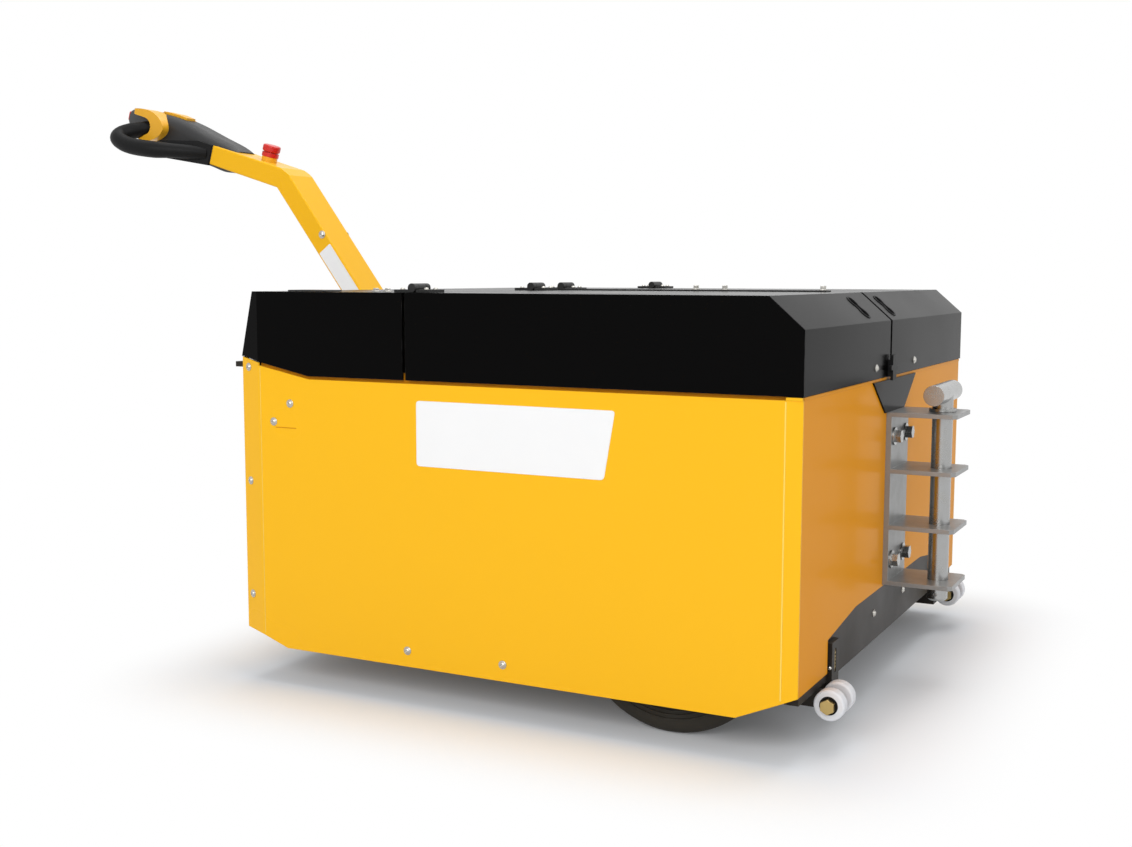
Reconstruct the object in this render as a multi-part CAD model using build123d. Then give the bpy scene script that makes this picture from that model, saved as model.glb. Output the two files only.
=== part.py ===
from build123d import *
import math
import os

# Pedestrian electric tow tractor: a low panelled body with lift-up lids, a pin hitch at one end and a
# cranked tiller with a loop handle at the other.
# Millimetres. z is up from the floor, y runs across and x is measured from the hitch face, with the tiller
# towards -x. The finished pieces are then moved along x so that the origin is midway along the whole length.

# Body shell
body_width = 1150
body_length = 1104
panel_thick = 3
skirt_z = 70
hitch_corner_inset = 4
bend_radius = 25
hitch_cut_length = 102
hitch_low_z = 114
taper_length = 50
taper_inset = 15
tiller_cut_length = 106
taper_low_z = 90
tiller_low_z = 97

# Lids and fixed front cover
lid_top_z = 742
lid_low_z = 588
cover_end_z = 620
cover_knee_from_end = 166
cover_lean = 36
cover_seat = 8
lid_thick = 4
lid_overhang = 2
shell_gap = 6
seam_gap = 6
centre_y = -52
centre_gap = 12
chamfer_run = 58
chamfer_drop = 51
pull_slot_length = 50
pull_slot_width = 13
pull_slot_end_diameter = 22
left_pull_y = -176
right_pull_y = 4

# Leaf hinges on the seam
hinge_leaf = 37
hinge_width = 50
hinge_thick = 5
knuckle_radius = 8
knuckle_middle = 24
knuckle_gap = 1
hinge_pin_radius = 3
hinge_pin_clear = 0.3
outer_hinge_inset = 50
left_hinge_from_centre = 36
right_hinge_from_centre = 98

# Trim on the lids and the hitch face
strip_width = 30
strip_thick = 3
strip_start = 37
strip_end_from_face = 125
tongue_thick = 3
tongue_y = -12
tongue_top_width = 318
tongue_low_width = 142
tongue_height = 61
latch_from_centre = -8
latch_width = 26
latch_thick = 5
latch_stand = 5
latch_rise = 40
latch_drop = 7
latch_wing_width = 48
latch_wing_height = 9
latch_anchor_width = 12

# Hitch-end chassis plate and the cut-out in the panel in front of it
end_plate_thick = 24
end_plate_low_z = 98
end_plate_inset = 15
cutout_width = 826
cutout_side_z = 171
cutout_flat_width = 490
cutout_top_z = 192

# Hitch
bracket_width = 130
bracket_back_thick = 10
jaw_plate_thick = 8
jaw_plate_count = 4
jaw_pitch = 106
jaw_low_z = 195
jaw_reach = 128
jaw_chamfer = 7
pin_from_face = 89
pin_diameter = 38
pin_clear = 0.5
pin_tail = 32
pin_tip_chamfer = 4
collar_diameter = 50
collar_height = 6
collar_rest = 0.3
tee_diameter = 38
tee_length = 160
tee_above_jaw = 35
clip_hole_diameter = 6
clip_hole_from_tip = 13
bolt_head_across = 22
bolt_head_height = 12
bolt_washer_diameter = 34
bolt_washer_thick = 3
bolt_spread_y = 86
bolt_inset_z = 46

# Anti-tip rollers
roller_diameter = 52
roller_width = 22
roller_bore_clear = 0.3
roller_edge = 4
roller_outer_inset = 95
roller_gap = 28
roller_from_face = 23
roller_z = 81
roller_axle_diameter = 14
roller_head_across = 22
roller_head_height = 9
roller_side_clear = 1
roller_run_clear = 5
bracket_plate_thick = 12
bracket_face_thick = 8
bracket_slot_width = 9
bracket_slot_length = 42
bracket_face_width = 40
bracket_face_height = 66
bracket_arm_half = 15
bracket_arm_back = 32

# Chassis
tub_wall = 6
tyre_inset = 65
tyre_side_gap = 46
arch_clear = 40
bulkhead_thick = 8
bulkhead_from_seam = 12
rail_height = 25
rail_thick = 8
rail_fit = 0.1
rail_drop = 2
rail_lip = 3
rail_lip_rise = 18
end_plate_drop = 12
battery_clear = 8
battery_height = 360

# Rear wheels
tyre_diameter = 360
tyre_width = 120
tyre_shoulder = 22
rim_diameter = 262
rim_wall = 14
rim_face_set = 24
rim_face_thick = 14
hub_diameter = 110
hub_boss_set = 8
rear_axle_from_face = 246
axle_bar = 50
axle_diameter = 40
axle_clear = 0.3
axle_nut_diameter = 60
axle_nut_thick = 12
rim_fit = 0.1

# Steered drive unit
turntable_bulkhead_clear = 18
turntable_end_clear = 56
drive_diameter = 254
drive_width = 100
drive_shoulder = 10
drive_rim_diameter = 190
drive_bore_clear = 0.3
drive_top_clear = 40
turntable_diameter = 280
turntable_thick = 20
slew_ring_thick = 25
slew_ring_wall = 32
slew_clear = 0.3
bridge_thick = 12
motor_diameter = 170
motor_height = 210
motor_ring_clear = 15
motor_cap_drop = 14
gearbox_gap = 8
gearbox_thick = 46
gearbox_half = 62
drive_axle_diameter = 44

# Tiller
shelf_thick = 22
shelf_plate_thick = 10
shelf_past_end = 30
shelf_under_cover = 40
shelf_side_inset = 30
post_past_end = 86
post_diameter = 50
post_height = 62
nose_half = 58
gusset_thick = 12
gusset_drop = 92
socket_diameter = 78
socket_clear = 0.3
socket_cap = 10
arm_width = 90
arm_depth = 46
arm_root_rise = 69
arm_low_angle = 53
arm_low_length = 381
arm_high_angle = 16.7
arm_high_length = 214
arm_edge = 4
knee_flat = 16

# Tiller head, in a frame along the arm's upper part: along it, across it and up from it
head_width = 92
head_back = 64
head_crown = 28
head_edge = 10
# Stations of the head: along, top, underside and share of the width
head_stations = (
    (-head_back, 26, -24, 0.90),
    (0, 39, -27, 1.00),
    (70, 49, -33, 1.00),
    (127, 55, -31, 1.00),
    (185, 54, -13, 1.00),
    (240, 50, -4, 0.86),
    (298, 40, 4, 0.46),
)
paddle_along = 190
paddle_up = 19
paddle_radius = 37
paddle_width = 22
paddle_tube_clear = 2
rocker_along = 160
rocker_length = 74
rocker_width = 30
rocker_rise = 6
belly_button_width = 34
belly_button_height = 22
belly_button_rise = 7
belly_button_edge = 3

# Loop handle: a loop of tube on each side of the head, from a moulded root to the paddle's middle
loop_tube_diameter = 34
# Centreline of the left loop: along, across and up
loop_path = (
    (20, 44, -2),
    (70, 88, -12),
    (125, 113, -24),
    (185, 119, -31),
    (226, 114, -26),
    (237, 98, -16),
    (224, 78, -2),
    (208, 60, 9),
    (194, 38, 17),
)
loop_root_length = 120
loop_root_out = 94
loop_root_top = 24
loop_root_low = -26
loop_root_tip_low = -38

# Stop button
stop_from_knee = 80
stop_collar_diameter = 36
stop_collar_height = 11
stop_neck_diameter = 32
stop_neck_height = 2
stop_base_diameter = 39
stop_base_height = 9
stop_cap_diameter = 41
stop_cap_height = 16
stop_cap_edge = 4

# Places worked out from the sizes above
half_width = body_width / 2
inner_half = half_width - panel_thick
rail_inner = inner_half - rail_fit - rail_thick
tiller_end_x = -body_length
taper_start_x = tiller_end_x + taper_length
tiller_cut_x = tiller_end_x + tiller_cut_length
drive_x = tiller_end_x + panel_thick + turntable_end_clear + turntable_diameter / 2
bulkhead_x = drive_x + turntable_diameter / 2 + turntable_bulkhead_clear + bulkhead_thick
seam_x = bulkhead_x + bulkhead_from_seam
cover_knee_x = tiller_end_x + cover_knee_from_end
panel_top_z = lid_low_z - shell_gap
shell_half = half_width + lid_overhang
end_plate_front_x = -panel_thick
end_plate_back_x = end_plate_front_x - end_plate_thick
jaw_top_z = jaw_low_z + jaw_pitch * (jaw_plate_count - 1) + jaw_plate_thick
axle_z = tyre_diameter / 2
tyre_outer_y = half_width - tyre_inset
tyre_inner_y = tyre_outer_y - tyre_width
tub_half = tyre_inner_y - tyre_side_gap
tub_floor_z = axle_z + axle_bar / 2
deck_z = tyre_diameter + arch_clear
rear_axle_x = -rear_axle_from_face
drive_z = drive_diameter / 2
turntable_z = drive_diameter + drive_top_clear
slew_low_z = turntable_z + turntable_thick + slew_clear
bridge_z = slew_low_z + slew_ring_thick
slew_bore = motor_diameter + 2 * motor_ring_clear
shelf_low_z = cover_end_z - shelf_thick
post_x = tiller_end_x - post_past_end
shelf_top_z = shelf_low_z + shelf_plate_thick
roller_y = half_width - roller_outer_inset - roller_width - roller_gap / 2
hinge_axis_z = lid_top_z + knuckle_radius


def block(x_span, y_span, z_span):
    """Box between two values on each axis."""
    spans = (x_span, y_span, z_span)
    middle = [(low + high) / 2 for low, high in spans]
    return Pos(*middle) * Box(*[high - low for low, high in spans])


def side_prism(outline, y_low, y_high):
    """Side outline of (x, z) points drawn out across the body."""
    face = make_face(Polyline(*[(x, y_low, z) for x, z in outline], close=True))
    return extrude(face, amount=y_high - y_low, dir=(0, 1, 0))


def end_prism(outline, x_low, x_high):
    """End outline of (y, z) points drawn out along the body."""
    face = make_face(Polyline(*[(x_low, y, z) for y, z in outline], close=True))
    return extrude(face, amount=x_high - x_low, dir=(1, 0, 0))


def plan_prism(outline, z_low, z_high):
    """Plan outline of (x, y) points drawn upwards."""
    face = make_face(Polyline(*[(x, y, z_low) for x, y in outline], close=True))
    return extrude(face, amount=z_high - z_low, dir=(0, 0, 1))


def cross_rod(x, z, y_low, y_high, diameter):
    """Round bar across the body."""
    return Pos(x, (y_low + y_high) / 2, z) * Rot(90, 0, 0) * Cylinder(diameter / 2, y_high - y_low)


def upright_rod(x, y, z_low, z_high, diameter):
    """Round bar standing up."""
    return Pos(x, y, (z_low + z_high) / 2) * Cylinder(diameter / 2, z_high - z_low)


def mirrored(shape):
    """The like piece on the other side of the centreline."""
    return mirror(shape, about=Plane.XZ)


def side_panel():
    """Left side panel: one sheet, bent in a little at both ends, with its lower corners cut away."""
    plan = (
        (0, hitch_corner_inset),
        (end_plate_back_x, 0),
        (taper_start_x, 0),
        (tiller_end_x, taper_inset),
    )
    outer = [(x, inset - half_width) for x, inset in plan]
    inner = [(x, inset - inner_half) for x, inset in reversed(plan)]
    outline = (
        (0, hitch_low_z),
        (0, panel_top_z),
        (cover_knee_x, panel_top_z),
        (tiller_end_x, cover_end_z - shell_gap),
        (tiller_end_x, tiller_low_z),
        (taper_start_x, taper_low_z),
        (tiller_cut_x, skirt_z),
        (-hitch_cut_length, skirt_z),
    )
    sheet = plan_prism(outer + inner, skirt_z, cover_end_z)
    for bend_x in (end_plate_back_x, taper_start_x):
        bend = sheet.edges().filter_by(Axis.Z).sort_by_distance((bend_x, -half_width, cover_end_z / 2))[0]
        sheet = fillet(bend, bend_radius)
    return sheet & side_prism(outline, -half_width, -half_width + taper_inset + panel_thick)


def hitch_end_panel():
    """Panel across the hitch end, cut out along its lower edge over the chassis plate."""
    side = inner_half - hitch_corner_inset
    half_outline = (
        (side, hitch_low_z),
        (cutout_width / 2, hitch_low_z),
        (cutout_width / 2, cutout_side_z),
        (cutout_flat_width / 2, cutout_top_z),
    )
    left = [(-y, z) for y, z in reversed(half_outline)]
    outline = [(-side, panel_top_z), (side, panel_top_z), *half_outline, *left]
    return end_prism(outline, -panel_thick, 0)


def tiller_end_panel():
    """Panel across the tiller end, under the shelf."""
    side = inner_half - taper_inset
    return block((tiller_end_x, tiller_end_x + panel_thick), (-side, side), (tiller_low_z, shelf_low_z))


def hitch_end_plate():
    """Chassis plate behind the hitch-end panel, which carries the hitch and the roller brackets."""
    side = inner_half - end_plate_inset
    return block(
        (end_plate_back_x, end_plate_front_x), (-side, side), (end_plate_low_z, panel_top_z - end_plate_drop)
    )


def chassis_tub():
    """Folded battery tub with decks over the rear wheels, from the end plate to the bulkhead."""
    outside = (
        (-inner_half, deck_z + tub_wall),
        (-inner_half, deck_z),
        (-tub_half, deck_z),
        (-tub_half, tub_floor_z),
        (tub_half, tub_floor_z),
        (tub_half, deck_z),
        (inner_half, deck_z),
        (inner_half, deck_z + tub_wall),
    )
    inner = tub_half - tub_wall
    floor = tub_floor_z + tub_wall
    inside = ((inner, deck_z + tub_wall), (inner, floor), (-inner, floor), (-inner, deck_z + tub_wall))
    return end_prism([*outside, *inside], bulkhead_x, end_plate_back_x)


def top_rail():
    """Rail inside the left panel's top edge, with an upright lip behind the gap under the lids and cover."""
    slope = (cover_end_z - lid_low_z) / cover_knee_from_end
    taper_rise = slope * (cover_knee_x - taper_start_x)
    line = (
        (taper_start_x, panel_top_z + taper_rise),
        (cover_knee_x, panel_top_z),
        (end_plate_back_x, panel_top_z),
    )
    bands = (
        (-rail_drop - rail_height, -rail_drop, rail_thick),
        (-rail_drop, rail_lip_rise, rail_lip),
    )
    rails = []
    for low, high, thick in bands:
        outline = [(x, z + low) for x, z in line] + [(x, z + high) for x, z in reversed(line)]
        rails.append(side_prism(outline, -rail_inner - thick, -rail_inner))
    return rails[0] + rails[1]


def drive_bridge():
    """Bulkhead at the seam and the level plate over the drive unit."""
    bulkhead = block(
        (bulkhead_x - bulkhead_thick, bulkhead_x),
        (-rail_inner, rail_inner),
        (tub_floor_z, lid_top_z - lid_thick),
    )
    side = inner_half - taper_inset
    level = block(
        (tiller_end_x + panel_thick, bulkhead_x - bulkhead_thick),
        (-side, side),
        (bridge_z, bridge_z + bridge_thick),
    )
    hole = upright_rod(drive_x, 0, bridge_z, bridge_z + bridge_thick, slew_bore)
    return bulkhead + level - hole


def slew_ring():
    """Fixed ring of the steering bearing, under the bridge."""
    outer = upright_rod(drive_x, 0, slew_low_z, bridge_z, slew_bore + 2 * slew_ring_wall)
    return outer - upright_rod(drive_x, 0, slew_low_z, bridge_z, slew_bore)


def battery_block():
    """The traction battery, as one mass in the tub."""
    side = tub_half - tub_wall - battery_clear
    floor = tub_floor_z + tub_wall
    return block(
        (bulkhead_x + battery_clear, end_plate_back_x - battery_clear),
        (-side, side),
        (floor, floor + battery_height),
    )


def rear_axle():
    """Fixed bar under the tub with turned ends and retaining nuts for the two wheels."""
    bar_half = axle_bar / 2
    bar = block(
        (rear_axle_x - bar_half, rear_axle_x + bar_half),
        (-tub_half, tub_half),
        (axle_z - bar_half, axle_z + bar_half),
    )
    end_y = tyre_outer_y - hub_boss_set
    nut_low = end_y + axle_clear
    ends = cross_rod(rear_axle_x, axle_z, -nut_low, nut_low, axle_diameter)
    nut = cross_rod(rear_axle_x, axle_z, nut_low, nut_low + axle_nut_thick, axle_nut_diameter)
    return bar + ends + nut + mirrored(nut)


def ring_tyre(diameter, width, bore, shoulder):
    """Solid rubber tyre lying across the body at the origin, with rounded shoulders."""
    solid = Rot(90, 0, 0) * Cylinder(diameter / 2, width)
    solid = fillet(solid.edges(), shoulder)
    return solid - Rot(90, 0, 0) * Cylinder(bore / 2, width)


def rear_tyre():
    """Left rear tyre."""
    tyre = ring_tyre(tyre_diameter, tyre_width, rim_diameter, tyre_shoulder)
    return Pos(rear_axle_x, -(tyre_inner_y + tyre_outer_y) / 2, axle_z) * tyre


def rear_hub():
    """Left rear wheel centre: rim barrel, dished disc and hub boss."""
    rim_radius = rim_diameter / 2 - rim_fit
    face_y = -tyre_outer_y + rim_face_set
    outer_y = -tyre_outer_y + hub_boss_set
    barrel = cross_rod(rear_axle_x, axle_z, -tyre_outer_y, -tyre_inner_y, 2 * rim_radius)
    barrel -= cross_rod(rear_axle_x, axle_z, -tyre_outer_y, -tyre_inner_y, 2 * (rim_radius - rim_wall))
    disc = cross_rod(rear_axle_x, axle_z, face_y, face_y + rim_face_thick, 2 * (rim_radius - rim_wall))
    boss = cross_rod(rear_axle_x, axle_z, outer_y, -tyre_inner_y, hub_diameter)
    bore = cross_rod(rear_axle_x, axle_z, outer_y, -tyre_inner_y, axle_diameter + 2 * axle_clear)
    return barrel + disc + boss - bore


def steer_turntable():
    """Turning plate of the drive unit, under the slew ring."""
    return upright_rod(drive_x, 0, turntable_z, turntable_z + turntable_thick, turntable_diameter)


def drive_gearbox():
    """Gear case that hangs from the turntable beside the wheel, with the wheel's axle."""
    near_y = drive_width / 2 + gearbox_gap
    far_y = near_y + gearbox_thick
    case = cross_rod(drive_x, drive_z, near_y, far_y, 2 * gearbox_half)
    case += block((drive_x - gearbox_half, drive_x + gearbox_half), (near_y, far_y), (drive_z, turntable_z))
    return case + cross_rod(drive_x, drive_z, -drive_width / 2, near_y, drive_axle_diameter)


def drive_motor():
    """Upright traction motor on the turntable, through the bridge."""
    base_z = turntable_z + turntable_thick
    can = upright_rod(drive_x, 0, base_z, base_z + motor_height, motor_diameter)
    return chamfer(can.edges().group_by(Axis.Z)[-1], motor_cap_drop)


def drive_tyre():
    """Tread of the drive wheel."""
    tyre = ring_tyre(drive_diameter, drive_width, drive_rim_diameter, drive_shoulder)
    return Pos(drive_x, 0, drive_z) * tyre


def drive_hub():
    """Centre of the drive wheel, on the gearbox axle."""
    side = drive_width / 2
    rim = cross_rod(drive_x, drive_z, -side, side, drive_rim_diameter - 2 * rim_fit)
    return rim - cross_rod(drive_x, drive_z, -side, side, drive_axle_diameter + 2 * drive_bore_clear)


def corner_tapers(half, low_z, high_z):
    """Wedges that take in the two corners of the front cover at the tiller end."""
    outline = (
        (taper_start_x, -half),
        (tiller_end_x, taper_inset - half),
        (tiller_end_x, -half),
    )
    wedge = plan_prism(outline, low_z, high_z)
    return wedge + mirrored(wedge)


def front_cover():
    """Fixed black cover over the drive unit, open below and towards the lids."""
    edge_x = seam_x - seam_gap / 2
    lean_slope = cover_lean / (lid_top_z - cover_end_z)
    outline = (
        (edge_x, lid_low_z),
        (edge_x, lid_top_z),
        (tiller_end_x + cover_lean, lid_top_z),
        (tiller_end_x, cover_end_z),
        (tiller_end_x + cover_seat, cover_end_z),
        (cover_knee_x, lid_low_z),
    )
    shell = side_prism(outline, -shell_half, shell_half) - corner_tapers(shell_half, lid_low_z, lid_top_z)
    end_wall = lid_thick * math.hypot(1, lean_slope)
    inside_top = lid_top_z - lid_thick
    inside = (
        (edge_x, lid_low_z),
        (edge_x, inside_top),
        (tiller_end_x + end_wall + lean_slope * (inside_top - cover_end_z), inside_top),
        (tiller_end_x + end_wall - lean_slope * (cover_end_z - lid_low_z), lid_low_z),
    )
    inner = shell_half - lid_thick
    hollow = side_prism(inside, -inner, inner) - corner_tapers(inner, lid_low_z, lid_top_z)
    return shell - hollow


def chamfer_plane(y):
    """Plane on the lids' sloping end: its x runs down the slope and its z points outwards."""
    middle = (lid_overhang - chamfer_run / 2, y, lid_top_z - chamfer_drop / 2)
    return Plane(origin=middle, x_dir=(chamfer_run, 0, -chamfer_drop), z_dir=(chamfer_drop, 0, chamfer_run))


def lid(y_low, y_high, open_low, open_high, pull_y):
    """Half lid between two y values: top, sloping end with a finger slot, end skirt and side skirt."""
    edge_x = seam_x + seam_gap / 2
    slope = math.atan2(chamfer_drop, chamfer_run)
    outline = (
        (edge_x, lid_low_z),
        (lid_overhang, lid_low_z),
        (lid_overhang, lid_top_z - chamfer_drop),
        (lid_overhang - chamfer_run, lid_top_z),
        (edge_x, lid_top_z),
    )
    end_shift = lid_thick * math.tan(math.pi / 4 - slope / 2)
    top_shift = lid_thick * math.tan(slope / 2)
    inside = (
        (edge_x, lid_low_z),
        (lid_overhang - lid_thick, lid_low_z),
        (lid_overhang - lid_thick, lid_top_z - chamfer_drop - end_shift),
        (lid_overhang - chamfer_run - top_shift, lid_top_z - lid_thick),
        (edge_x, lid_top_z - lid_thick),
    )
    end_along = (pull_slot_length - pull_slot_end_diameter) / 2
    ends = Locations((-end_along, 0), (end_along, 0)) * Circle(pull_slot_end_diameter / 2)
    slot = extrude(Rectangle(2 * end_along, pull_slot_width) + ends, amount=2 * lid_thick, both=True)
    shell = side_prism(outline, y_low, y_high) - side_prism(inside, open_low, open_high)
    return shell - chamfer_plane(pull_y) * slot


def lid_left():
    """Half lid on the left."""
    inner_y = centre_y - centre_gap / 2
    return lid(-shell_half, inner_y, lid_thick - shell_half, inner_y, left_pull_y)


def lid_right():
    """Half lid on the right."""
    inner_y = centre_y + centre_gap / 2
    return lid(inner_y, shell_half, inner_y, shell_half - lid_thick, right_pull_y)


def knuckle(y_low, y_high):
    """One knuckle of a leaf hinge on the seam, with its foot on the top surface."""
    return cross_rod(seam_x, hinge_axis_z, y_low, y_high, 2 * knuckle_radius)


def leaf(side, y, knuckle_spans):
    """Leaf on one side of the seam (+1 lids, -1 cover) with its knuckles at the given y spans."""
    near = seam_x + side * (knuckle_radius + knuckle_gap)
    far = seam_x + side * hinge_leaf
    z_span = (lid_top_z, lid_top_z + hinge_thick)
    half = hinge_width / 2
    plate = block(sorted((near, far)), (y - half, y + half), z_span)
    for low, high in knuckle_spans:
        plate += knuckle(y + low, y + high)
        plate += block(sorted((seam_x, near)), (y + low, y + high), z_span)
    return plate


def fixed_leaf(y):
    """Leaf on the cover, with the two outer knuckles and the pin."""
    half = hinge_width / 2
    gap = knuckle_middle / 2 + knuckle_gap
    pin = cross_rod(seam_x, hinge_axis_z, y - half, y + half, 2 * hinge_pin_radius)
    clear = Pos(0, y, 0) * cross_rod(seam_x, hinge_axis_z, -gap, gap, 2 * (knuckle_radius + knuckle_gap))
    return leaf(-1, y, ((-half, -gap), (gap, half))) - clear + pin


def moving_leaf(y):
    """Leaf on a lid, with the middle knuckle bored for the pin."""
    half = knuckle_middle / 2
    bore = cross_rod(seam_x, hinge_axis_z, y - half, y + half, 2 * (hinge_pin_radius + hinge_pin_clear))
    return leaf(1, y, ((-half, half),)) - bore


def hinge_leaves(make, places):
    """Like leaves at several y values."""
    return Compound(children=[make(y) for y in places])


def seam_strip():
    """Cover strip along the centre seam, on the right lid."""
    start = seam_x + strip_start
    strip_y = centre_y + centre_gap / 2
    y_span = (strip_y, strip_y + strip_width)
    return block((start, -strip_end_from_face), y_span, (lid_top_z, lid_top_z + strip_thick))


def latch_tongue():
    """Tapered plate on the hitch face under the lids' middle."""
    low_z = panel_top_z - tongue_height
    outline = (
        (tongue_y - tongue_top_width / 2, panel_top_z),
        (tongue_y + tongue_top_width / 2, panel_top_z),
        (tongue_y + tongue_low_width / 2, low_z),
        (tongue_y - tongue_low_width / 2, low_z),
    )
    return end_prism(outline, 0, tongue_thick)


def rubber_latch():
    """Pull-down latch on the left lid: anchor foot, strap in front of the centre seam and finger wings."""
    latch_y = centre_y + latch_from_centre
    strap_x = lid_overhang + latch_stand
    out_x = strap_x + latch_thick
    low_z = lid_low_z - latch_drop
    high_z = lid_low_z + latch_rise
    middle_z = (low_z + high_z) / 2
    half = latch_width / 2
    wing = latch_wing_width / 2
    wing_half = latch_wing_height / 2
    strap = block((strap_x, out_x), (latch_y - half, latch_y + half), (low_z, high_z))
    wing_low = middle_z - wing_half
    wings = block((strap_x, out_x), (latch_y - wing, latch_y + wing), (wing_low, middle_z + wing_half))
    strap = fillet((strap + wings).edges().filter_by(Axis.X), latch_wing_height / 3)
    anchor_y = latch_y - half
    anchor_z = high_z - latch_wing_height
    anchor = block((lid_overhang, strap_x), (anchor_y, anchor_y + latch_anchor_width), (lid_low_z, anchor_z))
    return strap + anchor


def hitch_bracket():
    """Back plate with level jaw plates, bored in line for the tow pin."""
    half = bracket_width / 2
    back = block((0, bracket_back_thick), (-half, half), (jaw_low_z, jaw_top_z))
    outline = (
        (bracket_back_thick, -half),
        (jaw_reach - jaw_chamfer, -half),
        (jaw_reach, jaw_chamfer - half),
        (jaw_reach, half - jaw_chamfer),
        (jaw_reach - jaw_chamfer, half),
        (bracket_back_thick, half),
    )
    for index in range(jaw_plate_count):
        low_z = jaw_low_z + index * jaw_pitch
        back += plan_prism(outline, low_z, low_z + jaw_plate_thick)
    return back - upright_rod(pin_from_face, 0, jaw_low_z, jaw_top_z, pin_diameter + 2 * pin_clear)


def hitch_bolts():
    """Four bolt heads with washers on the bracket's back plate."""
    washer_x = bracket_back_thick + bolt_washer_thick
    washer = Rot(0, 90, 0) * Cylinder(bolt_washer_diameter / 2, bolt_washer_thick)
    head = Plane.YZ * extrude(RegularPolygon(bolt_head_across / 2, 6, major_radius=False), bolt_head_height)
    bolt = Pos(bracket_back_thick + bolt_washer_thick / 2, 0, 0) * washer + Pos(washer_x, 0, 0) * head
    heights = (jaw_low_z + bolt_inset_z, jaw_top_z - bolt_inset_z)
    places = [(side * bolt_spread_y / 2, z) for side in (-1, 1) for z in heights]
    return Compound(children=[Pos(0, y, z) * bolt for y, z in places])


def hitch_pin():
    """Tow pin with a collar that rests on the top jaw, a cross handle and a hole for a retaining clip."""
    tip_z = jaw_low_z - pin_tail
    tee_z = jaw_top_z + tee_above_jaw
    rest_z = jaw_top_z + collar_rest
    shank = upright_rod(pin_from_face, 0, tip_z, tee_z, pin_diameter)
    shank = chamfer(shank.edges().group_by(Axis.Z)[0], pin_tip_chamfer)
    collar = upright_rod(pin_from_face, 0, rest_z, rest_z + collar_height, collar_diameter)
    tee = cross_rod(pin_from_face, tee_z, -tee_length / 2, tee_length / 2, tee_diameter)
    clip_z = tip_z + clip_hole_from_tip
    clip_hole = cross_rod(pin_from_face, clip_z, -pin_diameter, pin_diameter, clip_hole_diameter)
    return shank + collar + tee - clip_hole


def roller_bracket():
    """Left roller bracket: slotted face on the chassis plate, foot below it, arm between the rollers."""
    face_x = end_plate_front_x + bracket_face_thick
    foot_x = roller_from_face - roller_diameter / 2 - roller_run_clear
    beside_rollers = -roller_y + roller_gap / 2 + roller_width + roller_run_clear
    inside_cutout = -cutout_width / 2 + roller_run_clear + roller_side_clear
    face_y = max(beside_rollers, inside_cutout)
    face_far_y = face_y + bracket_face_width
    arm_low_z = roller_z - bracket_arm_half
    face_span = (face_y, face_far_y)
    arm_span = (-roller_y - bracket_plate_thick / 2, -roller_y + bracket_plate_thick / 2)
    face_top_z = end_plate_low_z + bracket_face_height
    low_span = (arm_low_z, end_plate_low_z)
    face = block((end_plate_front_x, face_x), face_span, (end_plate_low_z, face_top_z))
    slot_middle = (face_x, (face_y + face_far_y) / 2, end_plate_low_z + bracket_face_height / 2)
    slot = extrude(SlotOverall(bracket_slot_length, bracket_slot_width), bracket_face_thick, both=True)
    face -= Plane(origin=slot_middle, x_dir=(0, 0, 1), z_dir=(1, 0, 0)) * slot
    step = block((end_plate_back_x, face_x), face_span, low_span)
    back_x = end_plate_back_x - bracket_arm_back
    foot = block((back_x, foot_x), (arm_span[0], face_far_y), low_span)
    arm = block((back_x, roller_from_face), arm_span, (arm_low_z, roller_z + bracket_arm_half))
    eye = cross_rod(roller_from_face, roller_z, *arm_span, 2 * bracket_arm_half)
    axle_hole = cross_rod(roller_from_face, roller_z, *arm_span, roller_axle_diameter)
    return face + step + foot + arm + eye - axle_hole


def roller_bolt():
    """Left roller axle: a bolt through the arm with a hex head outside and a nut inside."""
    reach = roller_gap / 2 + roller_width + roller_side_clear
    shank = cross_rod(roller_from_face, roller_z, -roller_y - reach, -roller_y + reach, roller_axle_diameter)
    hexagon = extrude(RegularPolygon(roller_head_across / 2, 6, major_radius=False), roller_head_height)
    outside = Plane(origin=(roller_from_face, -roller_y - reach, roller_z), z_dir=(0, -1, 0)) * hexagon
    inside = Plane(origin=(roller_from_face, -roller_y + reach, roller_z), z_dir=(0, 1, 0)) * hexagon
    return shank + outside + inside


def roller_discs():
    """Left pair of nylon rollers."""
    disc = Rot(90, 0, 0) * Cylinder(roller_diameter / 2, roller_width)
    disc = fillet(disc.edges(), roller_edge)
    disc -= Rot(90, 0, 0) * Cylinder(roller_axle_diameter / 2 + roller_bore_clear, roller_width)
    offset = (roller_gap + roller_width) / 2
    places = (-roller_y - offset, -roller_y + offset)
    return Compound(children=[Pos(roller_from_face, y, roller_z) * disc for y in places])


def tiller_shelf():
    """Shelf plate under the cover with a nose past the tiller end, its gusset and the tiller's post."""
    side = half_width - shelf_side_inset
    plate = block(
        (tiller_end_x - shelf_past_end, tiller_end_x + shelf_under_cover),
        (-side, side),
        (shelf_low_z, shelf_top_z),
    )
    nose_end_x = tiller_end_x + shelf_under_cover
    nose = block((post_x, nose_end_x), (-nose_half, nose_half), (shelf_low_z, cover_end_z))
    nose += upright_rod(post_x, 0, shelf_low_z, cover_end_z, 2 * nose_half)
    gusset = (
        (tiller_end_x, shelf_low_z),
        (post_x, shelf_low_z),
        (tiller_end_x, shelf_low_z - gusset_drop),
    )
    rib = side_prism(gusset, -gusset_thick / 2, gusset_thick / 2)
    post = upright_rod(post_x, 0, cover_end_z, cover_end_z + post_height, post_diameter)
    return plate + nose + rib + post


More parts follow.
